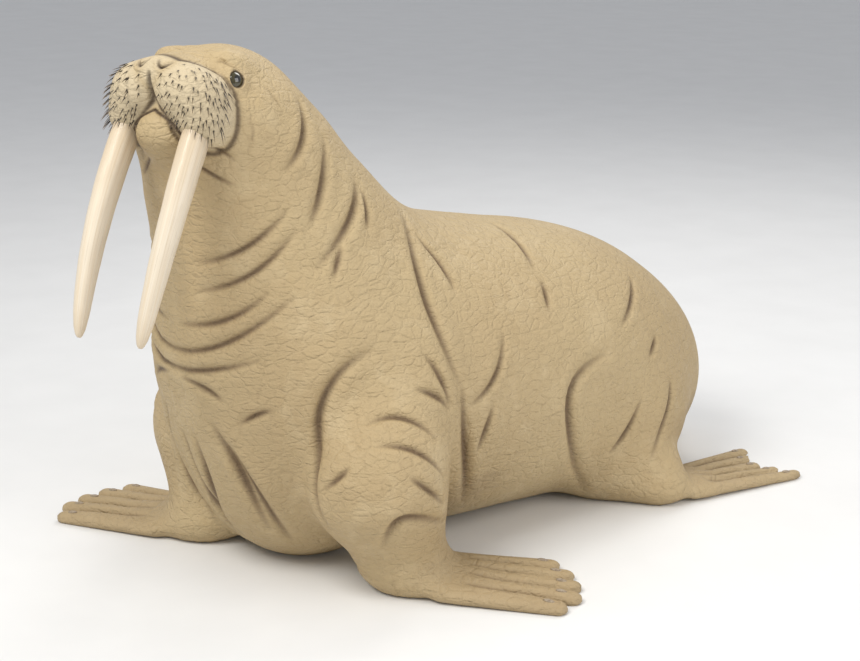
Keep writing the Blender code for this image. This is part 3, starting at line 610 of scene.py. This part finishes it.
def near_lines(points, lines, reach):
    """The points within a few widths of any fold."""
    chosen = np.zeros(len(points), bool)
    for line, width, _ in lines:
        low = line.min(axis=0) - width * reach
        high = line.max(axis=0) + width * reach
        near = np.nonzero(((points > low) & (points < high)).all(axis=1))[0]
        chosen[near] |= line_distance(points[near], line)[0] < width * reach
    return chosen


def lid_hollows():
    """The hollow between each eye's lids."""
    masses = []
    for side in (1, -1):
        look = Vector((EYE_LOOK[0] * side, *EYE_LOOK[1:]))
        turn = look.to_track_quat("Z", "Y").to_matrix().to_4x4()
        place = Matrix.Translation((EYE_CENTRE[0] * side, *EYE_CENTRE[1:])) @ turn
        masses.append(Mass(place @ Matrix.Translation((0, 0, LID_HOLLOW_OUT)), LID_HOLLOW, 0.004))
    return moved(masses, head_place())


def face_folds():
    """The creases of the face, given in the head's own frame for its left side."""
    place = head_place()
    folds = []
    for start, middle, end, width, depth in FACE_FOLDS:
        for side in (1, -1):
            ends = [place @ Vector((p[0] * side, *p[1:])) for p in (start, middle, end)]
            folds.append(Fold(*(tuple(p) for p in ends), width, depth, False))
    return folds


def digit_folds():
    """The furrows between neighbouring digits, from the palm towards the edge of the web."""
    folds = []
    for group in flesh():
        digits = [mass for mass in group.masses if len(mass.shape) == 4 and mass.shape[3] == DIGIT_FLAT]
        for first, second in zip(digits, digits[1:]):
            places = []
            for share in (0.16, 0.55, 0.94):
                ends = [mass.place @ Vector((0, 0, mass.shape[0] * share)) for mass in (first, second)]
                places.append(tuple((ends[0] + ends[1]) / 2 + Vector((0, 0, 0.02))))
            folds.append(Fold(*places, *DIGIT_FURROW, False))
    return folds


def press_folds(points, slope, lines):
    """Presses a crease along each line, and returns how deep each point lies in one, from 0 to 1, which is
    used as painted shade.
    """
    shift = np.zeros(len(points))
    shade = np.zeros(len(points))
    for line, width, depth in lines:
        low = line.min(axis=0) - width * 5
        high = line.max(axis=0) + width * 5
        near = np.nonzero(((points > low) & (points < high)).all(axis=1))[0]
        distance, middle = line_distance(points[near], line)
        ratio = distance / width
        strength = 0.25 + 0.75 * middle
        dip = np.exp(-(ratio**2))
        shift[near] += depth * strength * (0.45 * np.exp(-(((ratio - 2.2) / 1.1) ** 2)) - dip)
        own = np.exp(-((ratio / 0.8) ** 2)) * strength * min(1, depth / 0.006)
        shade[near] = np.maximum(shade[near], own)
    slope = slope / np.maximum(np.linalg.norm(slope, axis=1), 1e-9)[:, None]
    return points + slope * np.clip(shift, -0.022, 0.014)[:, None], shade


def hide_mesh():
    """The whole hide as one mesh, finest round the eyes, muzzle and flippers."""
    groups = flesh()
    dents = hollows() + lid_hollows()

    def plain(points):
        return hide_distance(groups, [], points)

    def dented(points):
        return hide_distance(groups, dents, points)

    lines = lines_of(list(FOLDS) + face_folds() + digit_folds(), plain)
    big = [line for line in lines if line[1] > BIG_FOLD]
    mesh = rough_mesh(groups, HIDE_VOXEL)
    settle(mesh, plain, 3, 0.03)
    relax(mesh, 2)
    settle(mesh, plain, 1, 0.02)
    refine(mesh, lambda points: near_head(points) | near_flippers(points) | near_lines(points, lines, 1.6))
    settle(mesh, plain, 2, 0.01)
    refine(mesh, lambda points: near_face(points) | near_lines(points, big, 0.9))
    settle(mesh, plain, 1, 0.005)
    settle(mesh, dented, 3, 0.004, near_face)
    refine(mesh, lambda points: near_eyes(points, 0.042) | near_nose(points))
    settle(mesh, dented, 6, 0.003, lambda points: near_eyes(points, 0.055) | near_nose(points))
    points = points_of(mesh)
    base, slope = gradient(plain, points)
    # Painted shade where the hide is pressed below its plain surface, in the lid hollows and the lip's
    # cleft
    sunk_shade = np.clip((-base - 0.0012) / 0.005, 0, 1) * near_face(points)
    points, shade = press_folds(points, slope, lines)
    face = np.nonzero(near_head(points))[0]
    # The mouth line and the pads' edge are pressed in and darkened with painted shade
    lip = lip_lines(points[face])
    points[face] -= slope[face] * (0.0042 * lip)[:, None]
    shade[face] = np.maximum(shade[face], lip)
    # Darker painted shade in the nostrils and along the mouth line and the edge of the pads
    sunk_shade = np.maximum(sunk_shade, shade * near_nose(points))
    sunk_shade[face] = np.maximum(sunk_shade[face], 0.75 * lip)
    points[:, 2] = np.maximum(points[:, 2], 0)
    mesh.vertices.foreach_set("co", points.ravel())
    # Painted shade in the folds, by how deep each point lies in a crease
    mark(mesh, "crease", shade)
    mark(mesh, "sunk_shade", sunk_shade)
    local = head_points(points)
    pads = np.min([group_distance(group, points) for group in whisker_pads()], axis=0)
    mark(mesh, "muzzle", np.clip(1 - pads / 0.012, 0, 1) * (local[:, 1] < -0.02))
    mark(mesh, "flipper", soft_flippers(points))
    return mesh, points


def lip_lines(points):
    """How near each point lies to the line of the mouth or the edge of the whisker pads, up to 1, for
    pressing them in and painting shade along them.
    """
    pads = np.min([group_distance(group, points) for group in whisker_pads()], axis=0)
    mouth = np.exp(-(((pads - group_distance(lower_lip(), points)) / 0.0062) ** 2))
    edge = np.exp(-(((pads - group_distance(skull(), points)) / 0.006) ** 2))
    return np.maximum(mouth, 0.72 * edge) * np.clip((0.03 - pads) / 0.01, 0, 1)


def soft_flippers(points):
    """How far each point lies out along a flipper, from 0 at the wrist to 1 at the digits."""
    out = np.zeros(len(points))
    for point, heading, along, reach in FLIPPERS:
        way = np.array((math.cos(math.radians(heading)), math.sin(math.radians(heading)), 0))
        side = np.array((-way[1], way[0], 0))
        local = points - (*point, 0)
        share = np.clip((local @ way - along + 0.05) / 0.20, 0, 1)
        share *= np.clip((reach + 0.06 - abs(local @ side)) / 0.05, 0, 1) * (points[:, 2] < 0.25)
        out = np.maximum(out, share)
    return out


def mark(mesh, name, values):
    layer = mesh.attributes.new(name, "FLOAT", "POINT")
    layer.data.foreach_set("value", np.asarray(values, dtype=np.float32))


def pad_whiskers(tree, side, rng):
    """Roots and directions of one pad's whiskers, in bowed rows over its front and side."""
    whiskers = []
    place = head_place()
    turn = place.to_3x3()
    core = place @ Vector((0.080 * side, -0.125, -0.045))
    for row in range(WHISKER_ROWS):
        rise = math.radians(34 - row * 80 / (WHISKER_ROWS - 1))
        count = 8 + round(5 * math.sin(math.pi * (row + 1) / (WHISKER_ROWS + 1)))
        for number in range(count):
            swing = math.radians(-20 + 98 * (number + 0.5 * (row % 2)) / count) + rng.normal(0, 0.035)
            lift = rise + rng.normal(0, 0.035)
            ray = Vector((math.sin(swing) * side, -math.cos(swing), math.tan(lift)))
            hit, normal = tree.ray_cast(core, turn @ ray.normalized(), 0.3)[:2]
            if hit is None:
                continue
            local = place.inverted() @ hit
            behind = (local - Vector(MUZZLE_PLANE[0])).dot(Vector(MUZZLE_PLANE[1]))
            high = local.z > (-0.006 if abs(local.x) < 0.062 else 0.030)
            if behind > -0.014 or abs(local.x) < 0.018 or high:
                continue
            fall = Vector((0.10 * side, -0.05, -0.55 - 0.35 * rng.random()))
            way = (normal.normalized() * 0.62 + turn @ fall).normalized()
            length = rng.uniform(0.013, 0.024) + 0.012 * max(0, swing) * rng.uniform(0.4, 1.3)
            whiskers.append((hit, way, length, swing, lift))
    return whiskers


def whiskers_mesh(whiskers, rng):
    """All the whiskers as thin tapered spines that bend a little as they fall."""
    bm = bmesh.new()
    uv = bm.loops.layers.uv.new("OFBake")
    along = bm.verts.layers.float.new("along")
    for hit, way, length, swing, lift in whiskers:
        thick = rng.uniform(0.0011, 0.0016)
        frame = way.to_track_quat("Z", "Y").to_matrix().to_4x4()
        made = bmesh.ops.create_circle(bm, segments=5, radius=1, cap_ends=True)
        ring = made["verts"]
        bottom = ring[0].link_faces[0]
        edges = list(bottom.edges)
        rings = [ring]
        for _ in range(3):
            parts = bmesh.ops.extrude_edge_only(bm, edges=edges)["geom"]
            ring = [part for part in parts if isinstance(part, bmesh.types.BMVert)]
            fresh = set(ring)
            edges = [p for p in parts if isinstance(p, bmesh.types.BMEdge) and set(p.verts) <= fresh]
            rings.append(ring)
        bmesh.ops.edgeloop_fill(bm, edges=edges)
        side_way = way.cross(Vector((0, 0, 1))).normalized()
        bend = side_way.cross(way) * -0.14
        for step, ring in enumerate(rings):
            t = (-0.12, 0.30, 0.68, 1.0)[step]
            width = thick * (1.0, 0.92, 0.62, 0.16)[step]
            centre = hit + way * (length * t) + bend * (length * max(0, t) ** 2)
            for vertex in ring:
                offset = frame @ Vector((vertex.co.x * width, vertex.co.y * width, 0))
                vertex.co = centre + offset
                vertex[along] = max(0, t)
        root = Vector((0.5 + 0.22 * swing, 0.5 + 0.30 * lift))
        for face in {face for ring in rings for vertex in ring for face in vertex.link_faces}:
            for loop in face.loops:
                offset = loop.vert.co - hit
                loop[uv].uv = root + Vector((offset.x, offset.z)).normalized() * 0.0012
    bmesh.ops.recalc_face_normals(bm, faces=bm.faces[:])
    return bm_mesh(bm, "whiskers")


def ring_tube(bm, segments, steps):
    """A capped circle drawn out into a tube of rings, which the caller then places."""
    bmesh.ops.create_circle(bm, cap_ends=True, segments=segments, radius=1)
    edges = bm.edges[:]
    rings = [bm.verts[:]]
    for _ in range(steps - 1):
        parts = bmesh.ops.extrude_edge_only(bm, edges=edges)["geom"]
        ring = [part for part in parts if isinstance(part, bmesh.types.BMVert)]
        fresh = set(ring)
        edges = [p for p in parts if isinstance(p, bmesh.types.BMEdge) and set(p.verts) <= fresh]
        rings.append(ring)
    bmesh.ops.edgeloop_fill(bm, edges=edges)
    return rings


def tusk_mesh(side):
    """A tusk from inside the lip to its worn tip, oval, bowed a little back, with shallow flutes."""
    root = Vector((TUSK_ROOT[0] * side, *TUSK_ROOT[1:]))
    tip = Vector((TUSK_TIP[0] * side, *TUSK_TIP[1:]))
    bow = Vector((0.010 * side, -0.022, 0))
    stations = [step[0] for step in TUSK_STEPS]
    widths = [step[1] for step in TUSK_STEPS]
    bm = bmesh.new()
    grain = bm.verts.layers.float_vector.new("grain")
    places = [1 - (1 - number / 47) ** 1.6 for number in range(48)]
    rings = ring_tube(bm, 40, len(places))
    for t, ring in zip(places, rings):
        scale = float(np.interp(t, stations, widths))
        centre = root.lerp(tip, t) + bow * (4 * t * (1 - t))
        for vertex in ring:
            x, y = vertex.co.x, vertex.co.y
            turn = math.atan2(y, x)
            flute = 1 + 0.018 * math.sin(turn * 5 + side) + 0.010 * math.sin(turn * 9 + 4 * t)
            flute += 0.008 * math.sin(t * 37 + turn * 2)
            reach = Vector((x * TUSK_RADII[0], y * TUSK_RADII[1], 0)) * scale * flute
            vertex[grain] = (x, y, t)
            vertex.co = centre + reach
    bmesh.ops.recalc_face_normals(bm, faces=bm.faces[:])
    bmesh.ops.transform(bm, matrix=head_place(), verts=bm.verts[:])
    bmesh.ops.triangulate(bm, faces=[face for face in bm.faces if len(face.verts) > 4])
    mesh = bm_mesh(bm, "tusk")
    mesh.shade_smooth()
    return mesh


def eye_mesh(side):
    """An eyeball with a raised cornea, marked with the distance of each point from its gaze."""
    look = Vector((EYE_LOOK[0] * side, *EYE_LOOK[1:]))
    turn = look.to_track_quat("Z", "Y").to_matrix().to_4x4()
    bm = bmesh.new()
    gaze = bm.verts.layers.float.new("gaze")
    bmesh.ops.create_uvsphere(bm, u_segments=48, v_segments=48, radius=EYE_RADIUS)
    for vertex in bm.verts:
        out = math.hypot(vertex.co.x, vertex.co.y) / EYE_RADIUS
        vertex[gaze] = out if vertex.co.z > 0 else 1.0
        if vertex.co.z > 0 and out < 0.62:
            vertex.co += vertex.co.normalized() * 0.0016 * (1 - (out / 0.62) ** 2)
    place = head_place() @ Matrix.Translation((EYE_CENTRE[0] * side, *EYE_CENTRE[1:])) @ turn
    bmesh.ops.transform(bm, matrix=place, verts=bm.verts[:])
    mesh = bm_mesh(bm, "eye")
    mesh.shade_smooth()
    return mesh


def nails_mesh():
    """Small blunt nails set back from the ends of the digits."""
    bm = bmesh.new()
    size = NAIL_HALF_LENGTH
    for centre, heading in digit_nails():
        place = Matrix.Translation(centre) @ Matrix.Rotation(heading, 4, "Z")
        place = place @ Matrix.Rotation(math.radians(14), 4, "Y")
        sized = place @ Matrix.Diagonal((size, size * 0.42, size * 0.36, 1))
        bmesh.ops.create_uvsphere(bm, u_segments=16, v_segments=10, radius=1, matrix=sized)
    mesh = bm_mesh(bm, "nails")
    mesh.shade_smooth()
    return mesh


def digit_nails():
    """Where each digit's nail lies and its heading."""
    nails = []
    for group in flesh():
        for mass in group.masses:
            if len(mass.shape) != 4 or mass.shape[3] != DIGIT_FLAT:
                continue
            length, start_radius, end_radius, flat = mass.shape
            share = 0.93 if length < 0.33 else 0.92
            way = mass.place.to_3x3() @ Vector((0, 0, 1))
            radius = start_radius + (end_radius - start_radius) * share
            centre = mass.place @ Vector((0, 0, length * share)) + Vector((0, 0, radius * flat * 0.93))
            nails.append((centre, math.atan2(way.y, way.x)))
    return nails


def shader_of(name, roughness):
    """A new material, its shader and a way to add and link nodes."""
    material = bpy.data.materials.new(name)
    material.use_nodes = True
    tree = material.node_tree
    shader = tree.nodes["Principled BSDF"]
    shader.inputs["Roughness"].default_value = roughness
    return material, tree, shader


def node(tree, kind, **inputs):
    made = tree.nodes.new("ShaderNode" + kind)
    for name, value in inputs.items():
        made.inputs[name.replace("_", " ")].default_value = value
    return made


def colour_mix(tree, factor, first, second, kind="MIX"):
    """A mix of two colours, each a socket or four numbers, by a factor socket or number."""
    mix = tree.nodes.new("ShaderNodeMix")
    mix.data_type = "RGBA"
    mix.blend_type = kind
    for socket, value in ((mix.inputs[0], factor), (mix.inputs[6], first), (mix.inputs[7], second)):
        if isinstance(value, bpy.types.NodeSocket):
            tree.links.new(value, socket)
        else:
            socket.default_value = value
    return mix.outputs[2]


def between(tree, value, low, high, out_low=0.0, out_high=1.0):
    """A socket's value spread from one range to another and kept inside it."""
    spread = tree.nodes.new("ShaderNodeMapRange")
    tree.links.new(value, spread.inputs["Value"])
    for name, number in (("From Min", low), ("From Max", high), ("To Min", out_low), ("To Max", out_high)):
        spread.inputs[name].default_value = number
    return spread.outputs["Result"]


def maths(tree, operation, first, second):
    made = tree.nodes.new("ShaderNodeMath")
    made.operation = operation
    for socket, value in zip(made.inputs, (first, second)):
        if isinstance(value, bpy.types.NodeSocket):
            tree.links.new(value, socket)
        else:
            socket.default_value = value
    return made.outputs[0]


def noise(tree, where, scale, detail=3.0, rough=0.55, twist=0.0):
    made = node(tree, "TexNoise", Scale=scale, Detail=detail, Roughness=rough, Distortion=twist)
    tree.links.new(where, made.inputs["Vector"])
    return made.outputs[0]


def attribute(tree, name):
    made = tree.nodes.new("ShaderNodeAttribute")
    made.attribute_name = name
    return made


def stretched(tree, where, scale, turn=(0, 0, 0)):
    made = tree.nodes.new("ShaderNodeMapping")
    made.inputs["Scale"].default_value = scale
    made.inputs["Rotation"].default_value = turn
    tree.links.new(where, made.inputs["Vector"])
    return made.outputs[0]


def bump(tree, height, strength, distance, under=None):
    made = node(tree, "Bump", Strength=strength, Distance=distance)
    tree.links.new(height, made.inputs["Height"])
    if under is not None:
        tree.links.new(under, made.inputs["Normal"])
    return made.outputs["Normal"]


def hide_material():
    """Dry tan hide: mottled, with painted shade in the folds and hollows, paler on the whisker pads, dark
    at each whisker.
    """
    material, tree, shader = shader_of("walrus_hide", 0.62)
    where = tree.nodes.new("ShaderNodeTexCoord").outputs["Object"]
    broad = between(tree, noise(tree, where, 1.7, 4.0), 0.30, 0.70)
    colour = colour_mix(tree, broad, HIDE_TAN, HIDE_WARM)
    patches = between(tree, noise(tree, where, 7.0, 5.0, 0.6, 0.4), 0.52, 0.72)
    colour = colour_mix(tree, maths(tree, "MULTIPLY", patches, 0.45), colour, HIDE_PALE)
    specks = between(tree, noise(tree, where, 46.0, 3.0, 0.6), 0.60, 0.74)
    colour = colour_mix(tree, maths(tree, "MULTIPLY", specks, 0.35), colour, HIDE_DARK)
    flipper = attribute(tree, "flipper").outputs["Fac"]
    colour = colour_mix(tree, maths(tree, "MULTIPLY", flipper, 0.42), colour, FLIPPER_BROWN)
    muzzle = attribute(tree, "muzzle").outputs["Fac"]
    pad = colour_mix(tree, broad, PAD_PALE, PAD_WARM)
    colour = colour_mix(tree, muzzle, colour, pad)
    # Painted shade: the creases darken towards a deep brown
    crease = attribute(tree, "crease").outputs["Fac"]
    colour = colour_mix(tree, between(tree, crease, 0.12, 0.9, 0.0, 0.88), colour, FOLD_SHADE_BROWN)
    # Painted shade, near black, in the hollows, nostrils and mouth line
    sunk_shade = attribute(tree, "sunk_shade").outputs["Fac"]
    colour = colour_mix(tree, maths(tree, "MULTIPLY", sunk_shade, 0.92), colour, SUNK_SHADE_BROWN)
    pore = attribute(tree, "pore").outputs["Fac"]
    colour = colour_mix(tree, between(tree, pore, 0.15, 0.8, 0.0, 0.85), colour, PORE_BROWN)
    tree.links.new(colour, shader.inputs["Base Color"])
    rough = between(tree, noise(tree, where, 30.0, 3.0), 0.3, 0.7, 0.52, 0.72)
    tree.links.new(rough, shader.inputs["Roughness"])
    shader.inputs["Specular IOR Level"].default_value = 0.35

    swirl = node(tree, "TexNoise", Scale=5.0, Detail=2.0)
    tree.links.new(where, swirl.inputs["Vector"])
    pushed = tree.nodes.new("ShaderNodeVectorMath")
    pushed.operation = "MULTIPLY_ADD"
    tree.links.new(swirl.outputs["Color"], pushed.inputs[0])
    pushed.inputs[1].default_value = (0.05, 0.05, 0.05)
    tree.links.new(where, pushed.inputs[2])
    way = pushed.outputs[0]
    big_cells = cracks(tree, stretched(tree, way, (1, 1, 1.7)), 26.0, 0.16)
    small_cells = cracks(tree, stretched(tree, way, (1, 1, 1.4)), 74.0, 0.24)
    normal = bump(tree, big_cells, 0.40, 0.0055)
    normal = bump(tree, small_cells, 0.38, 0.0022, normal)
    lines = noise(tree, stretched(tree, way, (4, 4, 30)), 1.0, 5.0, 0.62, 0.9)
    normal = bump(tree, lines, 0.55, 0.0100, normal)
    lumps = noise(tree, where, 9.0, 3.0, 0.5)
    normal = bump(tree, lumps, 0.45, 0.0200, normal)
    grain = noise(tree, where, 260.0, 2.0, 0.6)
    normal = bump(tree, grain, 0.25, 0.0010, normal)
    tree.links.new(normal, shader.inputs["Normal"])
    return material


def cracks(tree, where, scale, width):
    """Leathery cells: 1 on a cell, falling to 0 in the cracks between cells."""
    cells = node(tree, "TexVoronoi", Scale=scale, Randomness=1.0)
    cells.feature = "DISTANCE_TO_EDGE"
    tree.links.new(where, cells.inputs["Vector"])
    return between(tree, cells.outputs["Distance"], 0.0, width)


def tusk_material():
    """Ivory: cream, yellower towards the lip and the tip, with fine cracks along its length."""
    material, tree, shader = shader_of("walrus_tusk", 0.34)
    grain = attribute(tree, "grain")
    parts = tree.nodes.new("ShaderNodeSeparateXYZ")
    tree.links.new(grain.outputs["Vector"], parts.inputs["Vector"])
    along = parts.outputs["Z"]
    streaks = noise(tree, stretched(tree, grain.outputs["Vector"], (5, 5, 1.2)), 1.0, 4.0, 0.6, 0.3)
    colour = colour_mix(tree, between(tree, streaks, 0.35, 0.65), IVORY_PALE, IVORY_WARM)
    stain = maths(tree, "MULTIPLY", between(tree, along, 0.50, 0.08), 0.55)
    colour = colour_mix(tree, stain, colour, IVORY_STAIN)
    worn = maths(tree, "MULTIPLY", between(tree, along, 0.86, 1.0), 0.35)
    colour = colour_mix(tree, worn, colour, IVORY_STAIN)
    cracks = noise(tree, stretched(tree, grain.outputs["Vector"], (14, 14, 0.8)), 1.0, 3.0, 0.5, 0.2)
    thin = between(tree, maths(tree, "ABSOLUTE", maths(tree, "SUBTRACT", cracks, 0.5), 0), 0.016, 0.0)
    colour = colour_mix(tree, maths(tree, "MULTIPLY", thin, 0.42), colour, IVORY_CRACK)
    tree.links.new(colour, shader.inputs["Base Color"])
    normal = bump(tree, maths(tree, "SUBTRACT", 1.0, thin), 0.25, 0.0010)
    normal = bump(tree, streaks, 0.12, 0.0015, normal)
    tree.links.new(normal, shader.inputs["Normal"])
    tree.links.new(between(tree, streaks, 0.3, 0.7, 0.26, 0.42), shader.inputs["Roughness"])
    shader.inputs["Coat Weight"].default_value = 0.15
    return material


def eye_material():
    """A dark olive eye with a darker pupil and a nearly black rim, wet all over."""
    material, tree, shader = shader_of("walrus_eye", 0.10)
    gaze = attribute(tree, "gaze").outputs["Fac"]
    where = tree.nodes.new("ShaderNodeTexCoord").outputs["Object"]
    fibres = between(tree, noise(tree, where, 420.0, 3.0), 0.35, 0.65)
    iris = colour_mix(tree, fibres, IRIS_OLIVE, IRIS_BROWN)
    colour = colour_mix(tree, between(tree, gaze, 0.24, 0.32), PUPIL_BLACK, iris)
    colour = colour_mix(tree, between(tree, gaze, 0.60, 0.76), colour, EYE_EDGE)
    colour = colour_mix(tree, between(tree, gaze, 0.80, 0.95), colour, EYE_RIM)
    tree.links.new(colour, shader.inputs["Base Color"])
    shader.inputs["Coat Weight"].default_value = 1.0
    shader.inputs["Coat Roughness"].default_value = 0.02
    return material


def whisker_material():
    """Stiff bristles, dark at the root and horn-brown at the tip."""
    material, tree, shader = shader_of("walrus_whisker", 0.42)
    along = attribute(tree, "along").outputs["Fac"]
    colour = colour_mix(tree, between(tree, along, 0.35, 1.0), WHISKER_DARK, WHISKER_TIP)
    tree.links.new(colour, shader.inputs["Base Color"])
    return material


def nail_material():
    material, tree, shader = shader_of("walrus_nail", 0.38)
    where = tree.nodes.new("ShaderNodeTexCoord").outputs["Object"]
    streaks = between(tree, noise(tree, where, 160.0, 3.0), 0.35, 0.7)
    colour = colour_mix(tree, streaks, NAIL_DARK, NAIL_PALE)
    tree.links.new(colour, shader.inputs["Base Color"])
    tree.links.new(bump(tree, streaks, 0.2, 0.0006), shader.inputs["Normal"])
    return material


def floor_material():
    material, tree, shader = shader_of("studio_floor", 0.75)
    where = tree.nodes.new("ShaderNodeTexCoord").outputs["Object"]
    faint = between(tree, noise(tree, where, 3.0, 3.0), 0.3, 0.7)
    colour = colour_mix(tree, faint, FLOOR_GREY, FLOOR_PALE)
    tree.links.new(colour, shader.inputs["Base Color"])
    return material


def dress(name, mesh, material, slot, *nodes):
    """Adds a finished piece that stands for the given nodes and rides on the body."""
    mesh.materials.append(material)
    piece = new_piece(name, mesh)
    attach(piece, "root")
    if nodes:
        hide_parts(*nodes)
    return piece


def mark_pores(mesh, points, whiskers):
    """Darkens the hide where a whisker comes out."""
    near = np.zeros(len(points))
    roots = np.array([whisker[0] for whisker in whiskers])
    face = np.nonzero(near_face(points))[0]
    for root in roots:
        distance = np.linalg.norm(points[face] - root, axis=1)
        near[face] = np.maximum(near[face], np.exp(-((distance / 0.0032) ** 2)))
    mark(mesh, "pore", near)


def camera_basis(azimuth, elevation):
    turn, rise = math.radians(azimuth), math.radians(elevation)
    back = Vector((math.sin(turn) * math.cos(rise), -math.cos(turn) * math.cos(rise), math.sin(rise)))
    right = Vector((math.cos(turn), math.sin(turn), 0))
    return back, right, back.cross(right)


def set_camera():
    """The drawing's viewpoint, from in front of the animal's left shoulder."""
    back, right, up = camera_basis(CAMERA_AZIMUTH, CAMERA_ELEVATION)
    origin = Vector(SHIFT)
    target = origin + right * ((430 - 265) / PIXELS_PER_METRE) + up * ((552 - 330) / PIXELS_PER_METRE)
    lens = bpy.data.cameras.new("camera")
    lens.sensor_width = 36
    lens.lens = PIXELS_PER_METRE * CAMERA_DISTANCE / 860 * 36
    camera = new_piece("camera", lens)
    camera.location = target + back * CAMERA_DISTANCE
    camera.rotation_mode = "QUATERNION"
    camera.rotation_quaternion = back.to_track_quat("Z", "Y")
    bpy.context.scene.camera = camera


def set_light(name, azimuth, elevation, distance, size, power, colour):
    back = camera_basis(azimuth, elevation)[0]
    lamp = bpy.data.lights.new(name, "AREA")
    lamp.size = size
    lamp.energy = power
    lamp.color = colour
    light = new_piece(name, lamp)
    light.location = back * distance + Vector((0, 0, 0.6))
    light.rotation_mode = "QUATERNION"
    light.rotation_quaternion = back.to_track_quat("Z", "Y")


def set_stage():
    """A pale floor, an even sky and three soft lights."""
    bm = bmesh.new()
    bmesh.ops.create_grid(bm, x_segments=1, y_segments=1, size=30)
    mesh = bm_mesh(bm, "floor")
    mesh.materials.append(floor_material())
    new_piece("floor", mesh)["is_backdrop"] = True
    world = bpy.data.worlds.new("studio")
    world.use_nodes = True
    world.node_tree.nodes["Background"].inputs["Color"].default_value = (0.93, 0.95, 1.0, 1)
    world.node_tree.nodes["Background"].inputs["Strength"].default_value = 0.50
    bpy.context.scene.world = world
    set_light("key", 10, 50, 6.0, 3.0, 250, (1.0, 0.98, 0.94))
    set_light("fill", 105, 25, 6.0, 4.0, 135, (1.0, 0.98, 0.96))
    set_light("back", 205, 50, 6.0, 3.0, 110, (1.0, 0.98, 0.95))
    bpy.context.scene.view_settings.view_transform = "Standard"


def main():
    cad_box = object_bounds()
    rng = np.random.default_rng(11)
    move = Matrix.Translation(SHIFT)
    mesh, points = hide_mesh()
    mesh.calc_loop_triangles()
    faces = [tuple(triangle.vertices) for triangle in mesh.loop_triangles]
    tree = BVHTree.FromPolygons([Vector(point) for point in points], faces)
    whiskers = pad_whiskers(tree, 1, rng) + pad_whiskers(tree, -1, rng)
    mark_pores(mesh, points, whiskers)
    mesh.shade_smooth()
    print("hide triangles", len(faces), "whiskers", len(whiskers))

    pieces = [("hide", mesh, hide_material(), "hide", FLESH_NODES)]
    pieces.append(("whiskers", whiskers_mesh(whiskers, rng), whisker_material(), "hide", ()))
    pieces.append(("nails", nails_mesh(), nail_material(), "hide", ()))
    ivory = tusk_material()
    wet = eye_material()
    for side, word in ((1, "left"), (-1, "right")):
        pieces.append(("ivory_" + word, tusk_mesh(side), ivory, "tusk", ("tusk_" + word,)))
        pieces.append(("eyeball_" + word, eye_mesh(side), wet, "eye", ("eye_" + word,)))
    for name, shape, material, slot, nodes in pieces:
        shape.transform(move)
        dress(name, shape, material, slot, *nodes)
    set_stage()
    set_camera()
    return cad_box


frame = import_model()
cad_box = main()
